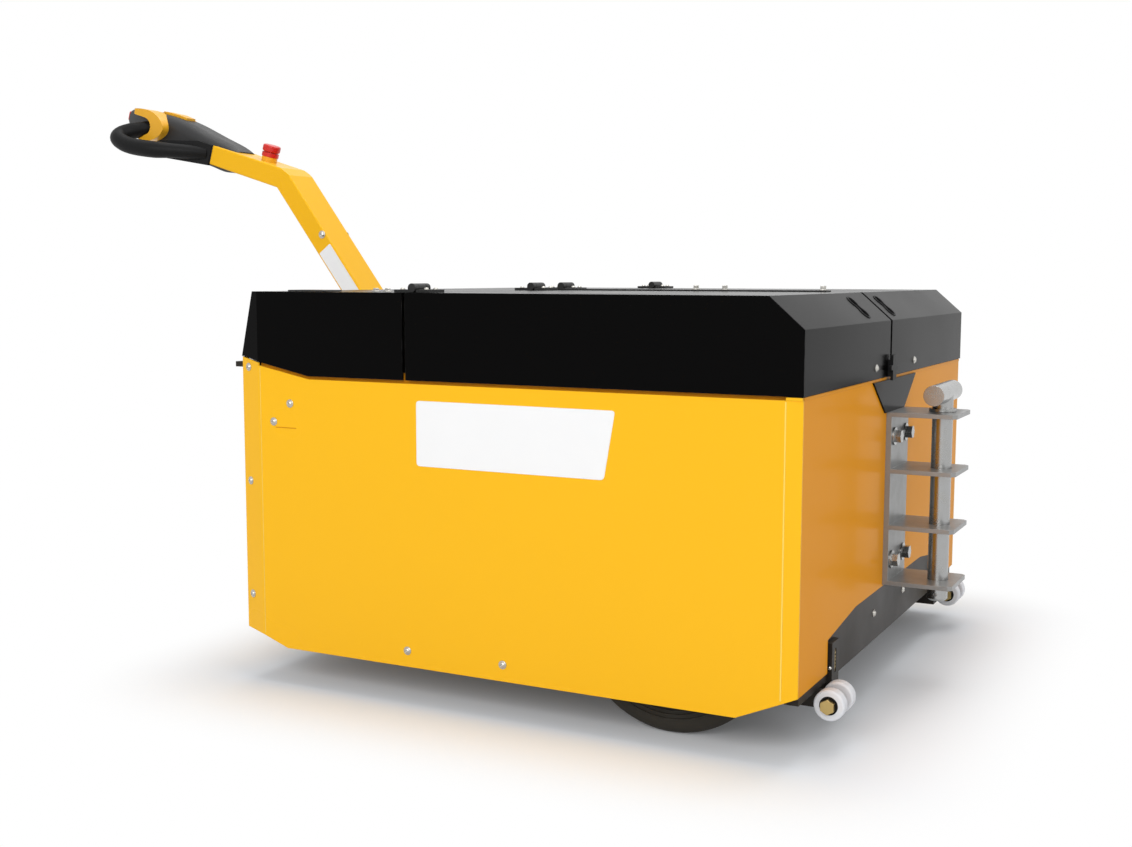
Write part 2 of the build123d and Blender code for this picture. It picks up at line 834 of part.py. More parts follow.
def tiller_socket():
    """Barrel that turns on the post and carries the arm."""
    low_z = cover_end_z + socket_clear
    bore_top_z = cover_end_z + post_height + socket_clear
    barrel = upright_rod(post_x, 0, low_z, bore_top_z + socket_cap, socket_diameter)
    return barrel - upright_rod(post_x, 0, low_z, bore_top_z, post_diameter + 2 * socket_clear)


def arm_directions():
    """Unit vectors (x, z) of the arm's lower and upper parts, and of their faces on the hitch side."""
    low, high = (math.radians(angle) for angle in (arm_low_angle, arm_high_angle))
    along = [(-math.cos(angle), math.sin(angle)) for angle in (low, high)]
    facing = [(math.sin(angle), math.cos(angle)) for angle in (low, high)]
    return along, facing


def arm_points():
    """Root, knee and end of the arm's centreline, as (x, z)."""
    along, _ = arm_directions()
    root = (post_x, cover_end_z + arm_root_rise)
    knee = tuple(r + arm_low_length * a for r, a in zip(root, along[0]))
    end = tuple(k + arm_high_length * a for k, a in zip(knee, along[1]))
    return root, knee, end


def tiller_arm():
    """Cranked box arm, notched onto the socket, with a flat fold at the knee."""
    _, facing = arm_directions()
    root, knee, end = arm_points()
    half = arm_depth / 2
    spread = 1 + facing[0][0] * facing[1][0] + facing[0][1] * facing[1][1]
    mitre = [half * (facing[0][i] + facing[1][i]) / spread for i in (0, 1)]
    outline = []
    for side in (1, -1):
        edge = [
            (root[0] + side * half * facing[0][0], root[1] + side * half * facing[0][1]),
            (knee[0] + side * mitre[0], knee[1] + side * mitre[1]),
            (end[0] + side * half * facing[1][0], end[1] + side * half * facing[1][1]),
        ]
        outline += edge[::side]
    arm = side_prism(outline, -arm_width / 2, arm_width / 2)
    fold = (knee[0] + mitre[0], 0, knee[1] + mitre[1])
    outer_fold = arm.edges().filter_by(Axis.Y).sort_by_distance(fold)[0]
    arm = chamfer(outer_fold, knee_flat)
    long_edges = [edge for edge in arm.edges() if abs(abs(edge.center().Y) - arm_width / 2) < arm_edge]
    long_edges = [edge for edge in long_edges if edge.length > arm_high_length / 2]
    arm = fillet(long_edges, arm_edge)
    socket_top_z = cover_end_z + post_height + socket_clear + socket_cap
    return arm - upright_rod(post_x, 0, cover_end_z, socket_top_z, socket_diameter)


def head_plane():
    """Frame of the tiller head: its x runs on along the arm's upper part and its z up from it."""
    along, facing = arm_directions()
    _, _, end = arm_points()
    return Plane(
        origin=(end[0], 0, end[1]), x_dir=(along[1][0], 0, along[1][1]), z_dir=(facing[1][0], 0, facing[1][1])
    )


def head_side_face(offset):
    """Plane beside the head for outlines of (along, up), offset across it."""
    frame = head_plane()
    return Plane(origin=frame.origin + frame.y_dir * offset, x_dir=frame.x_dir, z_dir=-frame.y_dir)


def head_section(along, top, low, share):
    """Cross-section of the head at one place along it, crowned at the top."""
    frame = head_plane()
    half = share * head_width / 2
    height = top - low
    flat = make_face(Polyline((-half, low), (half, low), (half, top), (-half, top), close=True))
    flat = fillet(flat.vertices().group_by(Axis.Y)[-1], min(head_crown, 0.45 * height, 0.9 * half))
    flat = fillet(flat.vertices().group_by(Axis.Y)[0], min(head_edge, 0.45 * height))
    place = Plane(origin=frame.origin + frame.x_dir * along, x_dir=frame.y_dir, z_dir=frame.x_dir)
    return place * flat


def head_shell(rise):
    """Moulded form of the head, raised by a distance."""
    sections = [
        head_section(along, top + rise, low + rise, share)
        for along, top, low, share in head_stations
    ]
    return loft(sections)


def tiller_head():
    """Moulded head on the arm's end, crowned on top and drawn in to the nose."""
    under = extrude(Pos(-head_back, 0) * Rectangle(2 * head_back, arm_depth), amount=2 * head_width)
    return head_shell(0) - head_side_face(head_width) * under


def paddle_outline():
    """Side face of a thumb paddle: a C that is open towards the handle's tip, from its middle."""
    upper_outside = ((1.35, 0.84), (0.16, 1.0), (-0.80, 0.73), (-1.28, 0.15))
    lower_outside = ((-0.86, -0.57), (-0.13, -0.92), (0.78, -0.95))
    lower_inside = ((0.82, -0.84), (0.30, -0.68), (-0.16, -0.38), (-0.24, -0.03))
    upper_inside = ((0.0, 0.36), (0.54, 0.49), (1.30, 0.50))
    outer = [(x * paddle_radius, y * paddle_radius) for x, y in upper_outside + lower_outside]
    inner = [(x * paddle_radius, y * paddle_radius) for x, y in lower_inside + upper_inside]
    edges = [Spline(*outer), Line(outer[-1], inner[0]), Spline(*inner), Line(inner[-1], outer[0])]
    return make_face(Curve() + edges)


def throttle_paddles():
    """Thumb paddles on both sides of the head, shaped round the ends of the loops."""
    reach = head_width / 2 + paddle_width
    half = extrude(Pos(paddle_along, paddle_up) * paddle_outline(), amount=2 * paddle_width)
    left = head_side_face(reach) * half
    right = head_side_face(2 * paddle_width - reach) * half
    tube = loop_tube(loop_tube_diameter + 2 * paddle_tube_clear)
    head = tiller_head()
    return Compound(children=[paddle - tube - mirrored(tube) - head for paddle in (left, right)])


def head_rocker():
    """Rocker switch that follows the arched top of the head."""
    top = head_stations[3][1]
    span = extrude(Pos(rocker_along, top) * Rectangle(rocker_length, top), amount=rocker_width)
    return (head_shell(rocker_rise) & head_side_face(rocker_width / 2) * span) - tiller_head()


def belly_button():
    """Safety button across the end of the nose."""
    along, top, low, _ = head_stations[-1]
    frame = head_plane()
    middle = frame.origin + frame.x_dir * along + frame.z_dir * (top + low) / 2
    outline = RectangleRounded(belly_button_width, belly_button_height, belly_button_edge)
    pad = extrude(outline, amount=belly_button_rise)
    pad = fillet(pad.faces().sort_by(Axis.Z)[-1].edges(), belly_button_edge / 2)
    return Plane(origin=middle, x_dir=frame.y_dir, z_dir=frame.x_dir) * pad


def loop_tube(diameter):
    """Tube of the left loop along its centreline."""
    frame = head_plane()
    points = [
        frame.origin + frame.x_dir * along - frame.y_dir * across + frame.z_dir * up
        for along, across, up in loop_path
    ]
    path = Spline(*points)
    return sweep(Plane(origin=path @ 0, z_dir=path % 0) * Circle(diameter / 2), path=path)


def loop_root():
    """Moulded root of the left loop, flared from the arm's end."""
    side = (
        (2, loop_root_low),
        (2, loop_root_top - 2),
        (0.26 * loop_root_length, loop_root_top),
        (loop_root_length, 0),
        (loop_root_length, loop_root_tip_low),
    )
    plan = (
        (0, 0),
        (0, head_width / 2 + 1),
        (0.8 * loop_root_length, loop_root_out),
        (loop_root_length, loop_root_out),
        (0.55 * loop_root_length, 0),
    )
    web = extrude(make_face(Polyline(*side, close=True)), amount=2 * head_width)
    cut = extrude(make_face(Polyline(*plan, close=True)), amount=2 * head_width, both=True)
    frame = head_plane()
    flat = Plane(origin=frame.origin, x_dir=frame.x_dir, z_dir=-frame.z_dir)
    return (head_side_face(0) * web) & (flat * cut)


def loop_handle():
    """Handle loops on both sides of the head, each with its root."""
    head = tiller_head()
    left = loop_tube(loop_tube_diameter) + loop_root() - head
    return Compound(children=[left, mirrored(left)])


def stop_plane():
    """Plane on the top face of the arm's upper part, at the stop button."""
    along, facing = arm_directions()
    _, knee, _ = arm_points()
    half = arm_depth / 2
    x, z = (k + half * f + stop_from_knee * a for k, f, a in zip(knee, facing[1], along[1]))
    return Plane(origin=(x, 0, z), x_dir=(0, 1, 0), z_dir=(facing[1][0], 0, facing[1][1]))


def stop_collar():
    """Collar under the stop button."""
    return stop_plane() * extrude(Circle(stop_collar_diameter / 2), amount=stop_collar_height)


def stop_button():
    """Mushroom stop button on its collar: base, groove and cap."""
    base = extrude(Circle(stop_base_diameter / 2), amount=stop_base_height)
    neck = extrude(Circle(stop_neck_diameter / 2), amount=stop_base_height + stop_neck_height)
    cap = fillet(extrude(Circle(stop_cap_diameter / 2), amount=stop_cap_height).edges(), stop_cap_edge)
    cap_rise = stop_base_height + stop_neck_height
    return stop_plane() * Pos(0, 0, stop_collar_height) * (base + neck + Pos(0, 0, cap_rise) * cap)


def handle_tip_x():
    """Where the tiller reaches furthest from the hitch."""
    return min(piece.bounding_box().min.X for piece in (belly_button(), loop_handle()))


def hinge_places():
    """Places of the two hinges of the left lid and the two of the right lid."""
    left = (outer_hinge_inset - half_width, centre_y - left_hinge_from_centre)
    right = (centre_y + right_hinge_from_centre, half_width - outer_hinge_inset)
    return left, right


# Distance along x that brings the origin to the middle of the whole length
origin_shift = -(handle_tip_x() + jaw_reach) / 2


def all_pieces():
    """Every piece by its name, in the hitch-face frame."""
    left_hinges, right_hinges = hinge_places()
    pieces = {
        "hitch_end_panel": hitch_end_panel(),
        "tiller_end_panel": tiller_end_panel(),
        "hitch_end_plate": hitch_end_plate(),
        "chassis_tub": chassis_tub(),
        "drive_bridge": drive_bridge(),
        "slew_ring": slew_ring(),
        "battery_block": battery_block(),
        "rear_axle": rear_axle(),
        "front_cover": front_cover(),
        "lid_left": lid_left(),
        "lid_right": lid_right(),
        "hinge_fixed_leaves": hinge_leaves(fixed_leaf, left_hinges + right_hinges),
        "hinge_leaves_left": hinge_leaves(moving_leaf, left_hinges),
        "hinge_leaves_right": hinge_leaves(moving_leaf, right_hinges),
        "seam_strip": seam_strip(),
        "latch_tongue": latch_tongue(),
        "rubber_latch": rubber_latch(),
        "hitch_bracket": hitch_bracket(),
        "hitch_bolts": hitch_bolts(),
        "hitch_pin": hitch_pin(),
        "steer_turntable": steer_turntable(),
        "drive_gearbox": drive_gearbox(),
        "drive_motor": drive_motor(),
        "drive_tyre": drive_tyre(),
        "drive_hub": drive_hub(),
        "tiller_shelf": tiller_shelf(),
        "tiller_socket": tiller_socket(),
        "tiller_arm": tiller_arm(),
        "tiller_head": tiller_head(),
        "throttle_paddles": throttle_paddles(),
        "head_rocker": head_rocker(),
        "belly_button": belly_button(),
        "loop_handle": loop_handle(),
        "stop_collar": stop_collar(),
        "stop_button": stop_button(),
    }
    paired = {
        "side_panel": side_panel(),
        "top_rail": top_rail(),
        "rear_tyre": rear_tyre(),
        "rear_hub": rear_hub(),
        "roller_bracket": roller_bracket(),
        "roller_bolt": roller_bolt(),
        "roller_discs": roller_discs(),
    }
    for name, piece in paired.items():
        pieces[name + "_left"] = piece
        pieces[name + "_right"] = mirrored(piece)
    return pieces


def main():
    """Write one file for each piece."""
    os.makedirs("parts", exist_ok=True)
    for name, piece in all_pieces().items():
        export_step(Pos(origin_shift, 0, 0) * piece, os.path.join("parts", name + ".step"))


if __name__ == "__main__":
    main()
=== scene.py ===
"""Finishes, fasteners, blank plates, lights and camera for a pedestrian electric tow tractor."""

import math

import bmesh
import bpy
from bpy.props import FloatProperty, FloatVectorProperty, IntProperty, PointerProperty
from mathutils import Matrix, Vector


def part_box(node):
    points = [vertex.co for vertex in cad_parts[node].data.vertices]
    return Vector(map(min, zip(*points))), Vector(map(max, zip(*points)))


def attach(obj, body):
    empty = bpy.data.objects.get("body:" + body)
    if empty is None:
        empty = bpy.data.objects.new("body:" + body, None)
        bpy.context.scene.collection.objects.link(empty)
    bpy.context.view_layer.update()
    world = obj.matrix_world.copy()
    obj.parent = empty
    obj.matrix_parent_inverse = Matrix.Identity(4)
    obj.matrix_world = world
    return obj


bl_info = {
    "name": "Electric tow tractor dressing",
    "version": (1, 0, 0),
    "blender": (4, 5, 0),
    "location": "3D View > Sidebar > Tug",
    "description": "Paint, fasteners, blank plates, lights and camera for an electric tow tractor",
    "category": "Object",
}

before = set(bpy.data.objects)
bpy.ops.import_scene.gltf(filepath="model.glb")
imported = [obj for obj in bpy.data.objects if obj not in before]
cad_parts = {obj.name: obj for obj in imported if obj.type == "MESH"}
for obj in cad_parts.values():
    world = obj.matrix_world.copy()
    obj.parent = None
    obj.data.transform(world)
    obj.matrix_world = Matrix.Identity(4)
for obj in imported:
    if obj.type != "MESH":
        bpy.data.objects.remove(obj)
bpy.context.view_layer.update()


def node_box(node):
    """Lowest and highest corner of a CAD node, as vectors."""
    low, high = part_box(node)
    return Vector(low), Vector(high)


# Places that the frame gives
side_low, side_high = node_box("side_panel_left")
lid_low, lid_high = node_box("lid_left")
tiller_end = side_low.x
hitch_face = side_high.x
half_width = -side_low.y
bend_length = 0.050
bend_inset = 0.015
bend_slope = 32 / 166

# Tiller: root of the arm, its two slopes and the end of the arm, which carries the head
arm_root = Vector((tiller_end - 0.086, 0.0, 0.689))
arm_low_slope = math.radians(53)
arm_high_slope = math.radians(16.7)
head_origin = Vector((tiller_end - 0.52026, 0.0, 1.05478))


def tint(label, text, default):
    """A colour that a user may change."""
    return FloatVectorProperty(
        name=label, description=text, default=default, subtype="COLOR", size=3, min=0.0, max=1.0
    )


def length(label, text, default):
    """A length that a user may change."""
    return FloatProperty(name=label, description=text, default=default, unit="LENGTH", min=0.0)


class TugColours(bpy.types.PropertyGroup):
    """Colours of the finishes."""

    panel_yellow: tint("Panel yellow", "Paint of the side panels and the tiller arm", (0.90, 0.475, 0.010))
    # End yellow is the panel yellow with painted shade: darker and more orange, for the hitch end in shade.
    shaded_end_yellow: tint("End yellow", "Paint of the hitch-end panel", (0.78, 0.305, 0.010))
    cover_black: tint("Cover black", "Gloss black of the lids and the cover", (0.0022, 0.0021, 0.0021))
    chassis_black: tint("Chassis black", "Satin black of the chassis plates", (0.020, 0.017, 0.014))
    zinc: tint("Zinc", "Zinc plate on the hitch", (0.41, 0.42, 0.43))
    passivate: tint("Passivate", "Yellow cast of the zinc plate", (0.36, 0.355, 0.335))
    brass: tint("Brass", "Roller bolts", (0.55, 0.40, 0.16))
    nylon: tint("Nylon", "Anti-tip rollers", (0.74, 0.75, 0.78))
    tyre: tint("Tyre", "Solid rubber tyres", (0.022, 0.019, 0.013))
    head_grey: tint("Head grey", "Moulded tiller head", (0.020, 0.020, 0.021))
    switch_yellow: tint("Switch yellow", "Paddles, rocker and stop collar", (0.84, 0.42, 0.018))
    stop_red: tint("Stop red", "Stop button", (0.60, 0.018, 0.012))
    label_white: tint("Label white", "Blank plates", (0.84, 0.84, 0.84))
    # Fold yellow is a painted highlight along the folds.
    fold_highlight_yellow: tint("Fold yellow", "Paint that catches the light along the folds", (0.95, 0.66, 0.10))


class TugSizes(bpy.types.PropertyGroup):
    """Sizes of the small pieces."""

    screw_head: length("Screw head", "Diameter of the panel screws' heads", 0.011)
    screw_washer: length("Screw washer", "Diameter of the washers under the panel screws", 0.0155)
    label_height: length("Label height", "Height of the blank plate on the side panel", 0.116)
    label_thick: length("Label thickness", "Thickness of the blank plates", 0.0008)
    stud_head: length("Stud head", "Diameter of the studs on the lids and the end plate", 0.0115)
    small_bolt: length("Small bolt", "Width across flats of the bolts on the strip and the cover", 0.010)
    leaf_screw: length("Leaf screw", "Diameter of the hinge screws' heads", 0.0085)
    leaf_thick: length("Leaf thickness", "Thickness of the hinge leaves", 0.005)
    # The bright line along a fold is a painted highlight.
    fold_highlight_width: length("Fold width", "Width of the bright line along a fold", 0.0026)
    # The dark rings on the rollers are painted shade for the recess round each bolt.
    recess_shade_diameter: length("Roller seal", "Outer diameter of the dark seals on the rollers", 0.031)
    rib_height: length("Tyre rib", "Height of the ribs on the tyres' sides", 0.0016)
    grip_diameter: length("Grip diameter", "Diameter of the soft grips on the handle loops", 0.039)
    cell_rise: length("Cell rise", "Height of the cell tops over the battery", 0.012)


class TugStage(bpy.types.PropertyGroup):
    """Camera and lights."""

    eye: FloatVectorProperty(
        name="Eye", description="Where the camera stands", default=(hitch_face + 0.6387, -2.6004, 0.7717),
        subtype="TRANSLATION", size=3,
    )
    yaw: FloatProperty(
        name="Yaw", description="Camera's turn to the left of +Y", default=math.radians(27.29), unit="ROTATION"
    )
    pitch: FloatProperty(
        name="Pitch", description="Camera's tilt upwards", default=math.radians(-6.114), unit="ROTATION"
    )
    roll: FloatProperty(name="Roll", description="Camera's roll", default=math.radians(0.1), unit="ROTATION")
    lens: FloatProperty(name="Lens", description="Focal length in mm", default=43.84, unit="CAMERA")
    front_power: FloatProperty(
        name="Front softbox", description="Power of the softbox before the side panel", default=105.0, unit="POWER"
    )
    top_power: FloatProperty(
        name="Top softbox", description="Power of the softbox overhead", default=75.0, unit="POWER"
    )
    hitch_power: FloatProperty(
        name="Hitch softbox", description="Power of the softbox on the hitch side", default=16.0, unit="POWER"
    )
    room: FloatProperty(name="Room light", description="Strength of the even room light", default=0.5, min=0.0)


def shade(name):
    """A named colour as red, green, blue and alpha."""
    return (*getattr(bpy.context.scene.tug_colours, name), 1.0)


def sizes():
    """The sizes of the small pieces."""
    return bpy.context.scene.tug_sizes


# Shader node groups shared by the finishes


def add_node(tree, kind, **values):
    """New node with settings, and with socket values given as (name, value) pairs under 'set'."""
    node = tree.nodes.new(kind)
    for socket, value in values.pop("set", ()):
        node.inputs[socket].default_value = value
    for key, value in values.items():
        setattr(node, key, value)
    return node


def start_group(name, inputs, outputs):
    """Empty node group with number inputs (name, default) and number outputs."""
    tree = bpy.data.node_groups.new(name, "ShaderNodeTree")
    for socket, default in inputs:
        tree.interface.new_socket(socket, in_out="INPUT", socket_type="NodeSocketFloat").default_value = default
    for socket in outputs:
        tree.interface.new_socket(socket, in_out="OUTPUT", socket_type="NodeSocketFloat")
    return tree, tree.nodes.new("NodeGroupInput"), tree.nodes.new("NodeGroupOutput")


def group_ripple():
    """Soft unevenness of sprayed paint or moulded skin: a height and a slow cloud of tone."""
    tree, given, put = start_group("Surface ripple", (("Scale", 300.0), ("Cloud scale", 3.0)), ("Height", "Cloud"))
    place = add_node(tree, "ShaderNodeTexCoord")
    fine = add_node(tree, "ShaderNodeTexNoise", set=(("Detail", 2.0), ("Roughness", 0.45)))
    cloud = add_node(tree, "ShaderNodeTexNoise", set=(("Detail", 3.0), ("Roughness", 0.55)))
    for noise, scale in ((fine, "Scale"), (cloud, "Cloud scale")):
        tree.links.new(place.outputs["Object"], noise.inputs["Vector"])
        tree.links.new(given.outputs[scale], noise.inputs["Scale"])
    tree.links.new(fine.outputs["Fac"], put.inputs["Height"])
    tree.links.new(cloud.outputs["Fac"], put.inputs["Cloud"])
    return tree


def group_edge_wear():
    """Mask that is 1 along corners where handling has worn the finish, broken up by noise."""
    tree, given, put = start_group("Edge wear", (("Width", 0.002), ("Break scale", 60.0), ("Amount", 0.5)), ("Mask",))
    rounded = add_node(tree, "ShaderNodeBevel", samples=4)
    tree.links.new(given.outputs["Width"], rounded.inputs["Radius"])
    true = add_node(tree, "ShaderNodeNewGeometry")
    dot = add_node(tree, "ShaderNodeVectorMath", operation="DOT_PRODUCT")
    tree.links.new(rounded.outputs["Normal"], dot.inputs[0])
    tree.links.new(true.outputs["Normal"], dot.inputs[1])
    corner = add_node(tree, "ShaderNodeMapRange", set=(("From Min", 0.995), ("From Max", 0.86)))
    tree.links.new(dot.outputs["Value"], corner.inputs["Value"])
    place = add_node(tree, "ShaderNodeTexCoord")
    noise = add_node(tree, "ShaderNodeTexNoise", set=(("Detail", 4.0), ("Roughness", 0.65)))
    tree.links.new(place.outputs["Object"], noise.inputs["Vector"])
    tree.links.new(given.outputs["Break scale"], noise.inputs["Scale"])
    patchy = add_node(tree, "ShaderNodeMapRange", set=(("From Min", 0.45), ("From Max", 0.62)))
    tree.links.new(noise.outputs["Fac"], patchy.inputs["Value"])
    both = add_node(tree, "ShaderNodeMath", operation="MULTIPLY")
    tree.links.new(corner.outputs["Result"], both.inputs[0])
    tree.links.new(patchy.outputs["Result"], both.inputs[1])
    level = add_node(tree, "ShaderNodeMath", operation="MULTIPLY")
    tree.links.new(both.outputs["Value"], level.inputs[0])
    tree.links.new(given.outputs["Amount"], level.inputs[1])
    tree.links.new(level.outputs["Value"], put.inputs["Mask"])
    return tree


def group_dust():
    """Mask of fine dust lying on faces that look up, in patches."""
    tree, given, put = start_group("Settled dust", (("Scale", 9.0), ("Amount", 0.2)), ("Mask",))
    facing = add_node(tree, "ShaderNodeNewGeometry")
    split = add_node(tree, "ShaderNodeSeparateXYZ")
    tree.links.new(facing.outputs["Normal"], split.inputs["Vector"])
    upward = add_node(tree, "ShaderNodeMapRange", set=(("From Min", 0.55), ("From Max", 1.0)))
    tree.links.new(split.outputs["Z"], upward.inputs["Value"])
    place = add_node(tree, "ShaderNodeTexCoord")
    noise = add_node(tree, "ShaderNodeTexNoise", set=(("Detail", 6.0), ("Roughness", 0.7)))
    tree.links.new(place.outputs["Object"], noise.inputs["Vector"])
    tree.links.new(given.outputs["Scale"], noise.inputs["Scale"])
    patchy = add_node(tree, "ShaderNodeMapRange", set=(("From Min", 0.35), ("From Max", 0.75)))
    tree.links.new(noise.outputs["Fac"], patchy.inputs["Value"])
    both = add_node(tree, "ShaderNodeMath", operation="MULTIPLY")
    tree.links.new(upward.outputs["Result"], both.inputs[0])
    tree.links.new(patchy.outputs["Result"], both.inputs[1])
    level = add_node(tree, "ShaderNodeMath", operation="MULTIPLY")
    tree.links.new(both.outputs["Value"], level.inputs[0])
    tree.links.new(given.outputs["Amount"], level.inputs[1])
    tree.links.new(level.outputs["Value"], put.inputs["Mask"])
    return tree


def group_drawn_lines():
    """Fine drawn lines of rolled or turned metal, and the cloudy spangle of its plating."""
    inputs = (("Along", 12.0), ("Across", 700.0), ("Spangle scale", 45.0))
    tree, given, put = start_group("Drawn lines", inputs, ("Lines", "Spangle"))
    place = add_node(tree, "ShaderNodeTexCoord")
    scale = add_node(tree, "ShaderNodeCombineXYZ")
    tree.links.new(given.outputs["Along"], scale.inputs["X"])
    tree.links.new(given.outputs["Along"], scale.inputs["Y"])
    tree.links.new(given.outputs["Across"], scale.inputs["Z"])
    stretch = add_node(tree, "ShaderNodeVectorMath", operation="MULTIPLY")
    tree.links.new(place.outputs["Object"], stretch.inputs[0])
    tree.links.new(scale.outputs["Vector"], stretch.inputs[1])
    lines = add_node(tree, "ShaderNodeTexNoise", set=(("Scale", 1.0), ("Detail", 3.0), ("Roughness", 0.6)))
    tree.links.new(stretch.outputs["Vector"], lines.inputs["Vector"])
    spangle = add_node(tree, "ShaderNodeTexNoise", set=(("Detail", 5.0), ("Roughness", 0.62)))
    tree.links.new(place.outputs["Object"], spangle.inputs["Vector"])
    tree.links.new(given.outputs["Spangle scale"], spangle.inputs["Scale"])
    tree.links.new(lines.outputs["Fac"], put.inputs["Lines"])
    tree.links.new(spangle.outputs["Fac"], put.inputs["Spangle"])
    return tree


def group_moulded_grain():
    """Fine pebbled grain of moulded plastic or rubber, as a height."""
    tree, given, put = start_group("Moulded grain", (("Scale", 900.0), ("Softness", 0.5)), ("Height",))
    place = add_node(tree, "ShaderNodeTexCoord")
    pebbles = add_node(tree, "ShaderNodeTexVoronoi", feature="SMOOTH_F1")
    noise = add_node(tree, "ShaderNodeTexNoise", set=(("Detail", 3.0),))
    for texture in (pebbles, noise):
        tree.links.new(place.outputs["Object"], texture.inputs["Vector"])
        tree.links.new(given.outputs["Scale"], texture.inputs["Scale"])
    blend = add_node(tree, "ShaderNodeMix", data_type="FLOAT")
    tree.links.new(given.outputs["Softness"], blend.inputs["Factor"])
    tree.links.new(pebbles.outputs["Distance"], blend.inputs["A"])
    tree.links.new(noise.outputs["Fac"], blend.inputs["B"])
    tree.links.new(blend.outputs["Result"], put.inputs["Height"])
    return tree


EFFECTS = {
    "Surface ripple": group_ripple,
    "Edge wear": group_edge_wear,
    "Settled dust": group_dust,
    "Drawn lines": group_drawn_lines,
    "Moulded grain": group_moulded_grain,
}


def effect(tree, name, **values):
    """A shared node group placed in a material, with its own values."""
    group = bpy.data.node_groups.get(name) or EFFECTS[name]()
    node = add_node(tree, "ShaderNodeGroup", node_tree=group)
    for socket, value in values.items():
        node.inputs[socket.replace("_", " ").capitalize()].default_value = value
    return node


# Finishes


class Finish:
    """A material with a Principled shader, and the steps that layer its colour, roughness and relief."""

    def __init__(self, name, colour, roughness, metallic=0.0, specular=0.5):
        self.material = bpy.data.materials.new(name)
        self.material.use_nodes = True
        self.material.diffuse_color = colour
        self.tree = self.material.node_tree
        self.shader = self.tree.nodes["Principled BSDF"]
        self.shader.inputs["Base Color"].default_value = colour
        self.shader.inputs["Roughness"].default_value = roughness
        self.shader.inputs["Metallic"].default_value = metallic
        self.shader.inputs["Specular IOR Level"].default_value = specular
        self.colour = colour
        self.colour_out = None

    def coat(self, weight, roughness):
        """Clear top coat."""
        self.shader.inputs["Coat Weight"].default_value = weight
        self.shader.inputs["Coat Roughness"].default_value = roughness
        return self

    def over(self, mask, colour):
        """Lays a colour over what is there by a mask."""
        mix = add_node(self.tree, "ShaderNodeMix", data_type="RGBA")
        mix.inputs["B"].default_value = colour
        if self.colour_out is None:
            mix.inputs["A"].default_value = self.colour
        else:
            self.tree.links.new(self.colour_out, mix.inputs["A"])
        self.tree.links.new(mask, mix.inputs["Factor"])
        self.colour_out = mix.outputs["Result"]
        self.tree.links.new(self.colour_out, self.shader.inputs["Base Color"])
        return self

    def vary(self, value, low, high):
        """Spreads a 0 to 1 value over the roughness range."""
        spread = add_node(self.tree, "ShaderNodeMapRange", set=(("To Min", low), ("To Max", high)))
        spread.inputs["From Min"].default_value = 0.25
        spread.inputs["From Max"].default_value = 0.75
        self.tree.links.new(value, spread.inputs["Value"])
        self.tree.links.new(spread.outputs["Result"], self.shader.inputs["Roughness"])
        return self

    def relief(self, height, depth, strength, rim=0.0012):
        """Bump from a height, over corners that are eased by the rim's radius."""
        bump = add_node(self.tree, "ShaderNodeBump")
        eased = add_node(self.tree, "ShaderNodeBevel", samples=4, set=(("Radius", rim),))
        self.tree.links.new(eased.outputs["Normal"], bump.inputs["Normal"])
        bump.inputs["Strength"].default_value = strength
        bump.inputs["Distance"].default_value = depth
        self.tree.links.new(height, bump.inputs["Height"])
        self.tree.links.new(bump.outputs["Normal"], self.shader.inputs["Normal"])
        return self


def scaled(colour, factor):
    """A darker or lighter colour."""
    return tuple(min(1.0, part * factor) for part in colour[:3]) + (1.0,)


def gloss_paint(name, colour, coat=0.10, specular=0.10, ripple=0.05):
    """Sprayed gloss paint: slow tone, orange peel, worn corners and a little dust."""
    finish = Finish(name, colour, 0.3, specular=specular).coat(coat, 0.05)
    skin = effect(finish.tree, "Surface ripple", scale=420.0, cloud_scale=2.2)
    finish.over(skin.outputs["Cloud"], scaled(colour, 0.965))
    wear = effect(finish.tree, "Edge wear", width=0.0012, break_scale=70.0, amount=0.25)
    finish.over(wear.outputs["Mask"], scaled(colour, 0.72))
    dust = effect(finish.tree, "Settled dust", scale=14.0, amount=0.10)
    finish.over(dust.outputs["Mask"], (0.62, 0.58, 0.50, 1.0))
    finish.vary(skin.outputs["Cloud"], 0.24, 0.36)
    return finish.relief(skin.outputs["Height"], 0.0004, ripple)


def yellow_paint(name):
    """Yellow of the panels and the arm."""
    return gloss_paint(name, shade("panel_yellow"))


def end_paint(name):
    """Yellow of the hitch end, with a mirror gloss: the panel yellow with painted shade, darker and more orange, for
    the end that stands in shade.
    """
    return gloss_paint(name, shade("shaded_end_yellow"), coat=0.05, specular=0.015, ripple=0.02)


def fold_paint(name):
    """Brighter yellow along the folds of the panels: a painted highlight where the bends catch the light."""
    return gloss_paint(name, shade("fold_highlight_yellow"), coat=0.3, specular=0.3)


def rail_paint(name):
    """Brown-yellow of the rails inside the panels: the shaded end yellow, darker still, as painted shade for the shadow
    under the lids.
    """
    return gloss_paint(name, scaled(shade("shaded_end_yellow"), 0.85), coat=0.0, specular=0.05)


def black_cover(name):
    """Gloss black of the lids and the cover."""
    colour = shade("cover_black")
    finish = Finish(name, colour, 0.22, specular=0.025)
    skin = effect(finish.tree, "Surface ripple", scale=500.0, cloud_scale=3.0)
    wear = effect(finish.tree, "Edge wear", width=0.0015, break_scale=55.0, amount=0.30)
    finish.over(wear.outputs["Mask"], (0.10, 0.10, 0.10, 1.0))
    dust = effect(finish.tree, "Settled dust", scale=11.0, amount=0.025)
    finish.over(dust.outputs["Mask"], (0.30, 0.29, 0.27, 1.0))
    finish.vary(skin.outputs["Cloud"], 0.18, 0.28)
    return finish.relief(skin.outputs["Height"], 0.0004, 0.04)


